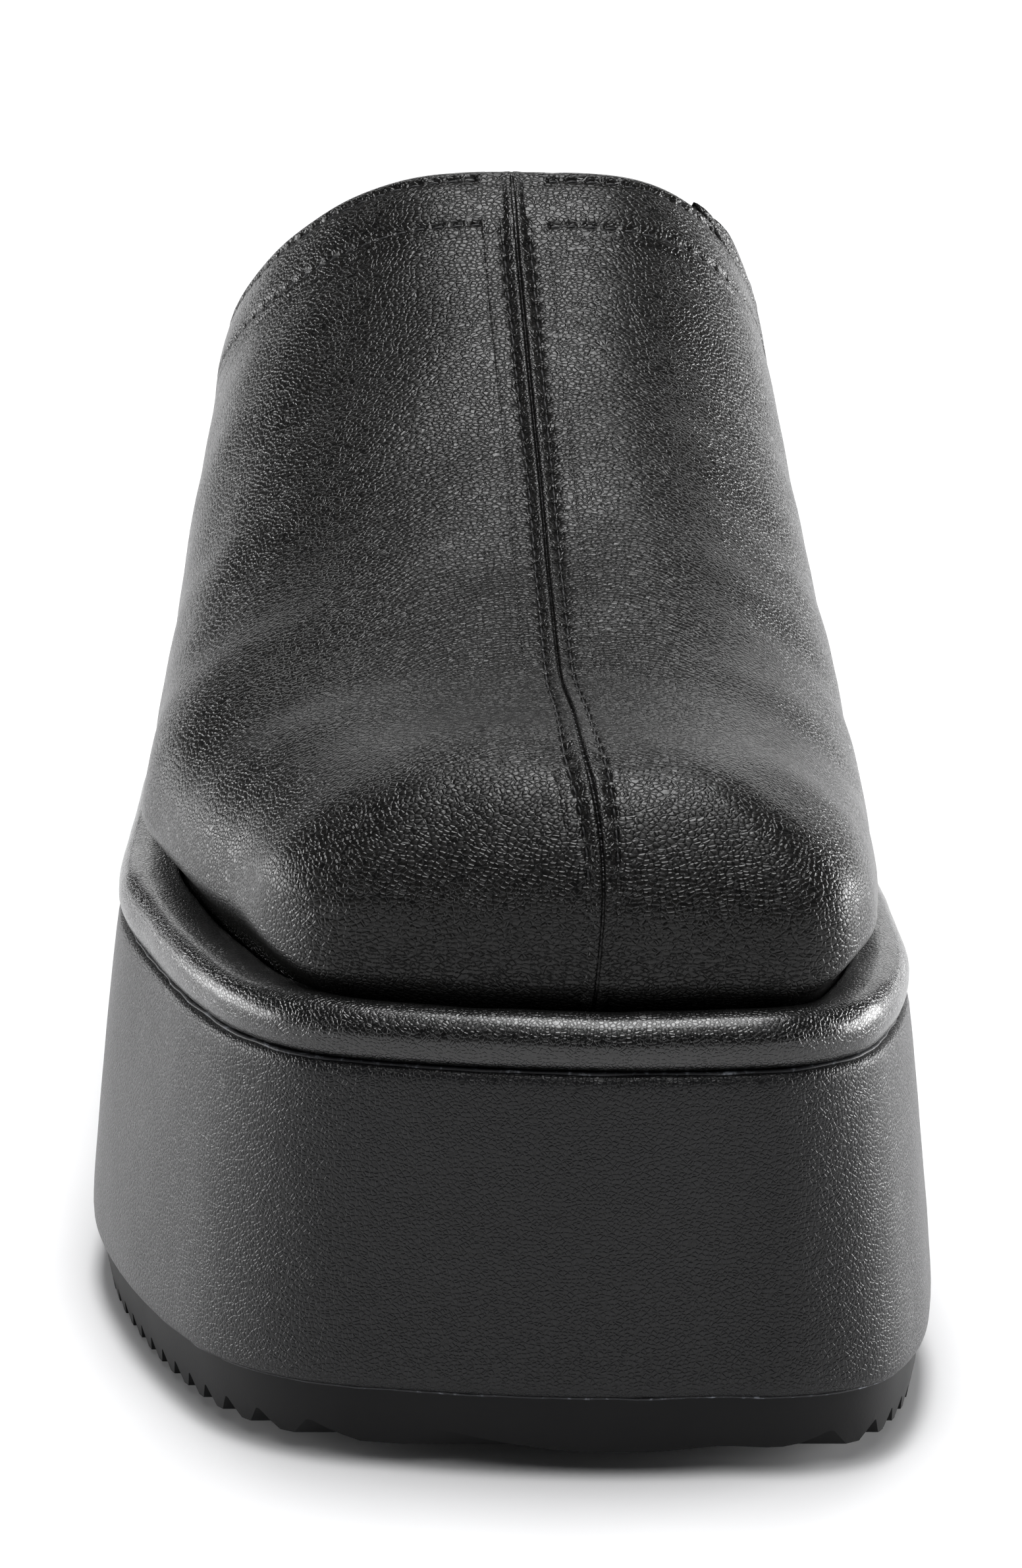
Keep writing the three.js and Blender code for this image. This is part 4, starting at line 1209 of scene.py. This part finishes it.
# Depth of the dents under a run of stitches, nothing to 1, at the pitch the stitch tree will use.
def stitchDents(line, pitch, size):
    length = lengthAlong(line)
    pitch = length[-1] / math.floor(length[-1] / pitch)
    phase = (length / pitch) % 1
    return np.exp(-((np.minimum(phase, 1 - phase) * pitch / size) ** 4))


# Collar band: the leather turned over the upper's edge, stitched at its edge and its foot.
def makeBand():
    b = bandSizes
    offsets, lifts = b["offsets"], smoothTable(*zip(*b["profile"]))
    tangents, sections, sewnRows = {}, [], []
    for hand in (outer, inner):
        along, turn, points = collarLines[hand]
        foot = upperPoint(hand, along, np.zeros_like(along))
        room = np.linalg.norm(points - foot, axis=1)
        fit = np.clip((room - 1.5) / (b["width"] + 0.4), 0.25, 1)
        tangent = np.gradient(points, axis=0)
        if hand == inner:
            tangent[0] = tangents[outer][0] * np.array([-1, 1, 1])
        tangent = tangents[hand] = unit(tangent)
        _, _, normal = surfaceFrame(hand, along, turn)
        heading = np.cross(normal, tangent)
        down = heading * np.sign(-heading[:, 2:3] + 1e-9)
        down[0] = -seamTangent[-1]  # at the peak the way down is forward along the ridge
        base, normals = walkAcross(hand, along, turn, down, [o * fit for o in offsets])
        rows = []
        dents = {}
        for row in (b["edgeRow"], b["lowerRow"]):
            line, up = base[offsets.index(row)], normals[offsets.index(row)]
            clear = (distancesTo(seamTree, line) > b["seamFree"]) & ~inWedge(line, b["goreFree"])
            clear &= fit > b["sewnFit"]
            dents[row] = np.zeros(len(line))
            for run in runsOf(clear):
                sewnRows.append((line[run] - up[run] * b["threadSink"], up[run]))
                dents[row][run] = stitchDents(line[run], b["pitch"], b["dentSize"])
        for k in range(len(offsets) - 1, 0, -1):
            lift = np.full(len(along), lifts(offsets[k]))
            for row, dash in dents.items():
                between = b["betweenRise"] * (1 - dash)
                lift -= (b["dent"] * dash - between) * hump(offsets[k], row, b["dentWidth"])
            rows.append(base[k] + normals[k] * lift[:, None])
        centre = base[1] - normals[1] * b["wallHalf"]
        up = unit(base[0] - base[1])
        reach = b["wallHalf"] + b["raise"]
        for k in range(1, 8):
            a = math.pi * k / 8
            rows.append(centre + reach * (normals[1] * math.cos(a) + up * math.sin(a)))
        for k in (1, 4, 7):
            rows.append(base[k] - normals[k] * (2 * b["wallHalf"] + 0.2))
        for k, deep in ((7, 1.2), (12, 1.0), (19, 0.9)):
            rows.append(base[k] - normals[k] * deep)
        sections.append(np.array(rows).transpose(1, 0, 2))
    return skinPiece("collarBand", np.concatenate([sections[0][:0:-1], sections[1]])), sewnRows


def evenLine(points, count):
    points = np.array(points, float)
    length = lengthAlong(points)
    at = np.linspace(0, length[-1], count)
    return np.column_stack([np.interp(at, length, points[:, k]) for k in range(points.shape[1])])


# Gore: ribbed elastic in a wedge of the inner side, below the leather's folded edges.
goreSizes = {
    # wedge's corners: share of the way back along the collar, share of the instep's height
    "corners": [(0.14, 1.1), (0.72, 1.1), (0.66, 0.42), (0.3, 0.25), (0.2, 0.28)],
    "cornerRound": 6.0, "thickness": 1.3, "sink": 0.95, "stand": 0.45, "bulgeOver": 5.0, "rise": 0.5,
    "selvedge": 2.0, "ribPitch": 1.5, "ribDepth": 0.2, "columns": 150, "rows": 46,
}


def goreCorner(corner):
    back = form["collarBack"] + corner[0] * (form["upperEndBack"] - form["collarBack"])
    return np.array([back, float(deckHeight(back)) + corner[1] * form["instepHeight"]])


def goreWedge():
    corners = np.array([goreCorner(c) for c in goreSizes["corners"]])
    outline = []
    for before, here, after in zip(np.roll(corners, 1, axis=0), corners, np.roll(corners, -1, axis=0)):
        lengths = np.linalg.norm(before - here), np.linalg.norm(after - here)
        reach = [min(goreSizes["cornerRound"], 0.48 * length) / length for length in lengths]
        ends = here + (before - here) * reach[0], here + (after - here) * reach[1]
        for t in np.linspace(0, 1, 7):
            outline.append((1 - t) ** 2 * ends[0] + 2 * t * (1 - t) * here + t * t * ends[1])
    return np.array(outline)


wedge = goreWedge()


# How far points (back, height) lie inside the wedge, less than nothing outside it.
def insideWedge(flat):
    reach = np.full(len(flat), np.inf)
    for a, b in zip(wedge, np.roll(wedge, -1, axis=0)):
        edge = b - a
        if np.linalg.norm(edge) > 1e-6:
            normal = np.array([edge[1], -edge[0]]) / np.linalg.norm(edge)
            reach = np.minimum(reach, (flat - a) @ normal * np.sign((wedge.mean(0) - a) @ normal))
    return reach


def inWedge(points, grow=0.0):
    return (insideWedge(points[:, 1:]) > -grow) & (points[:, 0] > 1)


def goreCutter():
    outline = evenLine([*wedge, wedge[0]], 90)[:-1]
    sections = np.array([[(x, y, z) for y, z in outline] for x in (1.0, 90.0)])
    return skinPiece("goreCutter", sections, smooth=False)


# The surface's two numbers on the inner side where it has a given back and height.
def surfaceAt(back, height):
    gridAlong, gridTurn = surfaceGrid((peakAlong - 0.04, rearAlong, 90), (0.05, halfPi, 120))
    grid = upperPoint(inner, gridAlong, gridTurn)
    tree = nearTree(np.column_stack([grid[:, 1:], grid[:, 0] * 0]))
    near = [tree.find((b, h, 0))[1] for b, h in zip(back, height)]
    along, turn = gridAlong[near], gridTurn[near]
    for _ in range(8):
        p = upperPoint(inner, along, turn)
        byAlong, byTurn, _ = surfaceFrame(inner, along, turn)
        missing = np.stack([back - p[:, 1], height - p[:, 2]], -1)
        det = byAlong[:, 1] * byTurn[:, 2] - byTurn[:, 1] * byAlong[:, 2]
        det = np.where(np.abs(det) < 1e-6, 1e-6, det)
        dAlong = (missing[:, 0] * byTurn[:, 2] - byTurn[:, 1] * missing[:, 1]) / det
        dTurn = (byAlong[:, 1] * missing[:, 1] - missing[:, 0] * byAlong[:, 2]) / det
        along = np.clip(along + np.clip(dAlong, -0.02, 0.02), 0, 1)
        turn = np.clip(turn + np.clip(dTurn, -0.1, 0.1), 0, halfPi)
    return along, turn


def makeGore():
    g = goreSizes
    frontTop, _, rearLow, middleLow, frontLow = [goreCorner(c) for c in g["corners"]]
    backs = np.linspace(form["collarBack"], form["upperEndBack"], 400)
    rim = collarHeight(backs, g["rise"])
    lean = (frontTop[0] - frontLow[0]) / (frontTop[1] - frontLow[1])
    first = int(np.argmax(backs > frontLow[0] + (rim - frontLow[1]) * lean)) + 2
    climb = (rearLow[1] - middleLow[1]) / (rearLow[0] - middleLow[0])
    lowRise = middleLow[1] + (backs - middleLow[0]) * climb
    last = int(np.argmax((backs > middleLow[0]) & (rim < lowRise + 0.5)))
    top = evenLine(np.column_stack([backs[first:last], rim[first:last]]), g["columns"])
    low = [frontLow + (0.4, 0.3), middleLow + (0.1, 0.4), (backs[last], lowRise[last] + 0.4)]
    bottom = evenLine(low, g["columns"])
    shares = 1 - (1 - np.linspace(0, 1, g["rows"])) ** 1.8
    grid = bottom[:, None] + (top - bottom)[:, None] * shares[None, :, None]
    flat = grid.reshape(-1, 2)
    along, turn = surfaceAt(flat[:, 0], np.minimum(flat[:, 1], collarHeight(flat[:, 0], 4)))
    p = upperPoint(inner, along, turn)
    _, _, normal = surfaceFrame(inner, along, turn)
    topLength = lengthAlong(top)
    fromTop = (np.linalg.norm(top - bottom, axis=1)[:, None] * (1 - shares)).ravel()
    ribs = np.repeat(np.cos(topLength / g["ribPitch"] * 2 * math.pi) * g["ribDepth"], g["rows"])
    ribs *= smoothstep(fromTop, g["selvedge"] - 0.4, g["selvedge"] + 0.5)
    ribs -= 0.15 * hump(fromTop, g["selvedge"], 0.35)
    half = g["thickness"] / 2
    full = np.sqrt(np.maximum(0.06, 1 - (1 - np.minimum(fromTop, half) / half) ** 2))
    bulge = smoothstep(insideWedge(flat), 0.4, g["bulgeOver"])
    middle = g["sink"] - (g["sink"] + g["stand"]) * bulge + half
    out = p - normal * (middle - half * full - ribs)[:, None]
    back = p - normal * (middle + half * full)[:, None]
    count = g["columns"] * g["rows"]
    ids = np.arange(count).reshape(g["columns"], g["rows"])
    faces = []
    for sheet in (ids, ids + count):
        faces += sheetFaces(sheet)
    for line in (ids[:, 0], ids[:, -1], ids[0, :], ids[-1, :]):
        faces += stripFaces(line, line + count)
    piece = makePiece("goreElastic", np.concatenate([out, back]), faces)
    dress(piece, elasticBlack, "gore_elastic", "gore")


# Folded edge of the leather round the gore, with its stitch row.
foldSizes = {
    "stations": 260, "row": 1.75, "rim": 0.3, "onBand": 0.33,
    # out from the wedge's edge, up from the leather
    "section": [(3.4, -0.15), (3.15, 0.03), (2.6, 0.12), (2.1, 0.08), (1.75, -0.14), (1.4, 0.08),
                (0.9, 0.2), (0.2, 0.24), (-0.4, 0.14), (-0.75, -0.12), (-0.85, -0.45), (-0.6, -0.72),
                (0.0, -0.8), (1.5, -0.8), (3.2, -0.75)],
}


def makeFold():
    f = foldSizes
    edge = evenLine([*wedge, wedge[0]], 1200)
    over = edge[:, 1] - collarHeight(edge[:, 0])
    # from above the rim in front, round the wedge's foot, to above the rim behind
    highest = int(np.argmax(over))
    edge, over = np.roll(edge[:-1], -highest, axis=0), np.roll(over[:-1], -highest)
    kept = edge[over < 9]
    if kept[0, 0] > kept[-1, 0]:
        kept = kept[::-1]
    line = evenLine(kept, f["stations"])
    tangent = unit(np.gradient(line, axis=0))
    outward = np.column_stack([tangent[:, 1], -tangent[:, 0]])
    outward *= np.sign(dots((line - wedge.mean(0), outward))[0])[:, None]
    rows, sewn = [], None
    for out, up in f["section"]:
        flat = line + outward * out
        flat[:, 1] = np.minimum(flat[:, 1], collarHeight(flat[:, 0], f["rim"]))
        along, turn = surfaceAt(flat[:, 0], flat[:, 1])
        p = upperPoint(inner, along, turn)
        _, _, normal = surfaceFrame(inner, along, turn)
        onBand = 1 - smoothstep(distancesTo(collarTree, p), 11.6, 12.8)
        lift = up + (f["onBand"] * onBand if up > -0.5 else 0)
        rows.append(p + normal * np.broadcast_to(lift, len(p))[:, None])
        if out == f["row"]:
            free = flat[:, 1] < collarHeight(flat[:, 0], -1.2)
            sewn = (rows[-1] - normal * 0.05)[free], normal[free]
    return linePiece("goreFold", rows), sewn


def cutOut(piece, cutter):
    modifier = piece.modifiers.new("cut", "BOOLEAN")
    modifier.operation = "DIFFERENCE"
    modifier.solver = "EXACT"
    modifier.object = cutter
    old, piece.data = piece.data, grownMesh(piece, piece.name)
    bpy.data.meshes.remove(old)
    piece.data.name = piece.name
    piece.data.set_sharp_from_angle(angle=math.radians(50))


# Stitches: one thread arc at every pitch along a row of points that carry the surface's normal.
def stitchTree():
    labels = "Pitch", "Stitch length", "Thread radius", "Hole depth", "Crown", "Slant"
    tree, given = newTree("lockStitchRow", {**dict.fromkeys(labels, "Float"), "Thread": "Material"})
    half, minusHalf, below = [
        addNode(tree, "ShaderNodeMath", {1: share}, {0: given[label]}, operation="MULTIPLY").outputs[0]
        for share, label in ((0.5, "Stitch length"), (-0.5, "Stitch length"), (-1.0, "Hole depth"))
    ]
    start = addNode(tree, "ShaderNodeCombineXYZ", links={"X": minusHalf, "Z": below}).outputs[0]
    middle = addNode(tree, "ShaderNodeCombineXYZ", links={"Z": given["Crown"]}).outputs[0]
    end = addNode(tree, "ShaderNodeCombineXYZ", links={"X": half, "Z": below}).outputs[0]
    arc = addNode(
        tree, "GeometryNodeCurveQuadraticBezier", {"Resolution": 5},
        {"Start": start, "Middle": middle, "End": end},
    )
    ring = addNode(
        tree, "GeometryNodeCurvePrimitiveCircle", {"Resolution": 6}, {"Radius": given["Thread radius"]}
    )
    thread = addNode(
        tree, "GeometryNodeCurveToMesh", {"Fill Caps": True},
        {"Curve": arc.outputs["Curve"], "Profile Curve": ring.outputs["Curve"]},
    )
    even, tangent = pitchPoints(tree, given["Geometry"], given["Pitch"])
    upward = addNode(
        tree, "GeometryNodeInputNamedAttribute", {"Name": "surfaceNormal"}, data_type="FLOAT_VECTOR"
    )
    turned = addNode(tree, "FunctionNodeAlignRotationToVector", links={"Vector": tangent}, axis="X")
    stood = addNode(
        tree, "FunctionNodeAlignRotationToVector", axis="Z", pivot_axis="X",
        links={"Rotation": turned.outputs["Rotation"], "Vector": upward.outputs["Attribute"]},
    )
    lean = addNode(tree, "ShaderNodeCombineXYZ", links={"Z": given["Slant"]}).outputs[0]
    toRotation = addNode(tree, "FunctionNodeEulerToRotation", links={"Euler": lean}).outputs[0]
    slanted = addNode(
        tree, "FunctionNodeRotateRotation", rotation_space="LOCAL",
        links={"Rotation": stood.outputs["Rotation"], "Rotate By": toRotation},
    )
    placed = addNode(
        tree, "GeometryNodeInstanceOnPoints",
        links={"Points": even, "Instance": thread.outputs["Mesh"],
               "Rotation": slanted.outputs["Rotation"]},
    )
    real = addNode(tree, "GeometryNodeRealizeInstances", links={"Geometry": placed.outputs["Instances"]})
    soft = addNode(tree, "GeometryNodeSetShadeSmooth", links={"Geometry": real.outputs["Geometry"]})
    return endTree(tree, soft.outputs["Geometry"], given["Thread"])


stitchSizes = {"length": 2.25, "radius": 0.27, "holeDepth": 0.3, "crown": 0.34, "slant": 0.1}
seamStitch = {"length": 1.5, "radius": 0.2}
collarStitch = {"length": 1.7, "radius": 0.22, "holeDepth": 0.2}
goreStitch = {"length": 1.8, "radius": 0.22}
closingStitch = {"length": 0.8, "radius": 0.1, "holeDepth": 0.05, "crown": 0.1, "slant": 1.35}


def stitchPiece(name, rows, pitch, tree, thread=threadBlack, **changes):
    sizes = {**stitchSizes, **changes}
    points, normals, edges = [], [], []
    for line, lineNormals in rows:
        start = len(points)
        points += list(line)
        normals += list(lineNormals)
        edges += [(start + i, start + i + 1) for i in range(len(line) - 1)]
    mesh = bpy.data.meshes.new(name + "Line")
    mesh.from_pydata(inFrame(points).tolist(), edges, [])
    attribute = mesh.attributes.new("surfaceNormal", "FLOAT_VECTOR", "POINT")
    attribute.data.foreach_set("vector", np.array(normals, np.float32).ravel())
    source = addObject(name + "Line", mesh)
    given = {
        "Pitch": pitch / 1000, "Stitch length": sizes["length"] / 1000,
        "Thread radius": sizes["radius"] / 1000, "Hole depth": sizes["holeDepth"] / 1000,
        "Crown": sizes["crown"] / 1000, "Slant": sizes["slant"], "Thread": thread,
    }
    return dress(growWith(tree, source, given, name), thread, "upper_leather")


# Floor and light: a white sweep under a soft box above, one behind and two low at the sides, with
# little from the front, so that the toe and the wall stay black and the sides shine.
def addFloor():
    mesh = bpy.data.meshes.new("floor")
    rim = [(9 * math.cos(a), 9 * math.sin(a), 0) for a in np.arange(64) * math.pi / 32]
    mesh.from_pydata(rim, [], [list(range(64))])
    floor = addObject("floor", mesh)
    material, tree, shader, place = newMaterial("paper_sweep_white")
    grain = addNode(tree, "ShaderNodeTexNoise", {"Scale": 40.0, "Detail": 2.0}, {"Vector": place})
    tone = addNode(
        tree, "ShaderNodeMix", {"A": linear("#f2f2f3"), "B": linear("#f7f7f8")},
        {"Factor": grain.outputs["Fac"]}, data_type="RGBA",
    )
    # the far floor, behind the lights, has its own wash
    far = addNode(tree, "ShaderNodeVectorMath", links={0: place}, operation="LENGTH")
    wash = addNode(
        tree, "ShaderNodeMapRange", {"From Min": 0.45, "From Max": 0.8}, {"Value": far.outputs["Value"]}
    )
    setShader(tree, shader, {
        "Emission Strength": wash.outputs["Result"], "Emission Color": (1.0, 1.0, 1.0, 1.0),
        "Base Color": tone.outputs["Result"], "Roughness": 0.9, "Specular IOR Level": 0.1,
    })
    mesh.materials.append(material)
    floor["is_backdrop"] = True


lightSet = [
    # name, place in m, aimed at, width, height, watts
    ("leftBox", (-1.0, 0.3, 0.15), (0, 0, 0.06), 0.9, 0.3, 7.5),
    ("rightBox", (1.0, 0.3, 0.15), (0, 0, 0.06), 0.9, 0.3, 14.5),
    ("topBox", (0.0, 0.0, 1.2), (0, 0, 0.05), 0.45, 0.9, 15.5),
    ("frontTopBox", (0.0, -0.7, 1.1), (0, 0, 0.05), 1.0, 0.6, 2.6),
    ("backBox", (0.08, 1.4, 0.5), (0, 0, 0.1), 1.4, 0.8, 5.6),
]


def addLights():
    for name, place, aim, width, height, watts in lightSet:
        data = bpy.data.lights.new(name, "AREA")
        data.shape = "RECTANGLE"
        data.size, data.size_y, data.energy = width, height, watts
        light = addObject(name, data)
        light.location = place
        light.visible_camera = False
        light.rotation_mode = "QUATERNION"
        light.rotation_quaternion = (Vector(aim) - Vector(place)).to_track_quat("-Z", "Y")
    world = bpy.data.worlds.new("studio")
    world.use_nodes = True
    sky = world.node_tree.nodes["Background"]
    setShader(world.node_tree, sky, {"Color": (0.95, 0.96, 1.0, 1.0), "Strength": 0.03})
    bpy.context.scene.world = world
    bpy.context.scene.view_settings.view_transform = "Standard"
    bpy.context.scene.view_settings.exposure = 0.0


addFloor()
addLights()
makeSole()
print("sole cut")
makePlatform()
makeJoints()
makeRand()
makeInsole()
print("platform, rand and insole made")
leather, lining = makeUpper()
seam, seamRows, groove = makeSeam()
band, bandRows = makeBand()
print("upper made")
cutter = goreCutter()
for piece in (leather, lining, band):
    cutOut(piece, cutter)
bpy.data.objects.remove(cutter)
dress(leather, upperLeather, "upper_leather", "upper")
dress(lining, liningLeather, "upper_leather")
dress(seam, upperLeather, "upper_leather")
dress(band, upperLeather, "upper_leather")
makeGore()
fold, foldRow = makeFold()
dress(fold, upperLeather, "upper_leather")
print("gore set in")

rowTree = stitchTree()
stitchPiece("seamStitches", list(seamRows.values()), seamSizes["pitch"], rowTree, **seamStitch)
# ends of the closing thread in the groove over the toe, their pale colour a painted glint
onFront = seamLength < seamSizes["ticksTo"]
tickBase, tickNormal = groove
tickRow = tickBase[onFront] - tickNormal[onFront] * seamSizes["tickSink"], tickNormal[onFront]
stitchPiece(
    "closingThread", [tickRow], seamSizes["tickPitch"], rowTree, thread=threadPaintedGlint, **closingStitch
)
stitchPiece("collarStitches", bandRows, bandSizes["pitch"], rowTree, **collarStitch)
stitchPiece("goreStitches", [foldRow], bandSizes["pitch"], rowTree, **goreStitch)
print("stitches sewn")

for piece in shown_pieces():
    print(piece.name, triangleCount(piece))
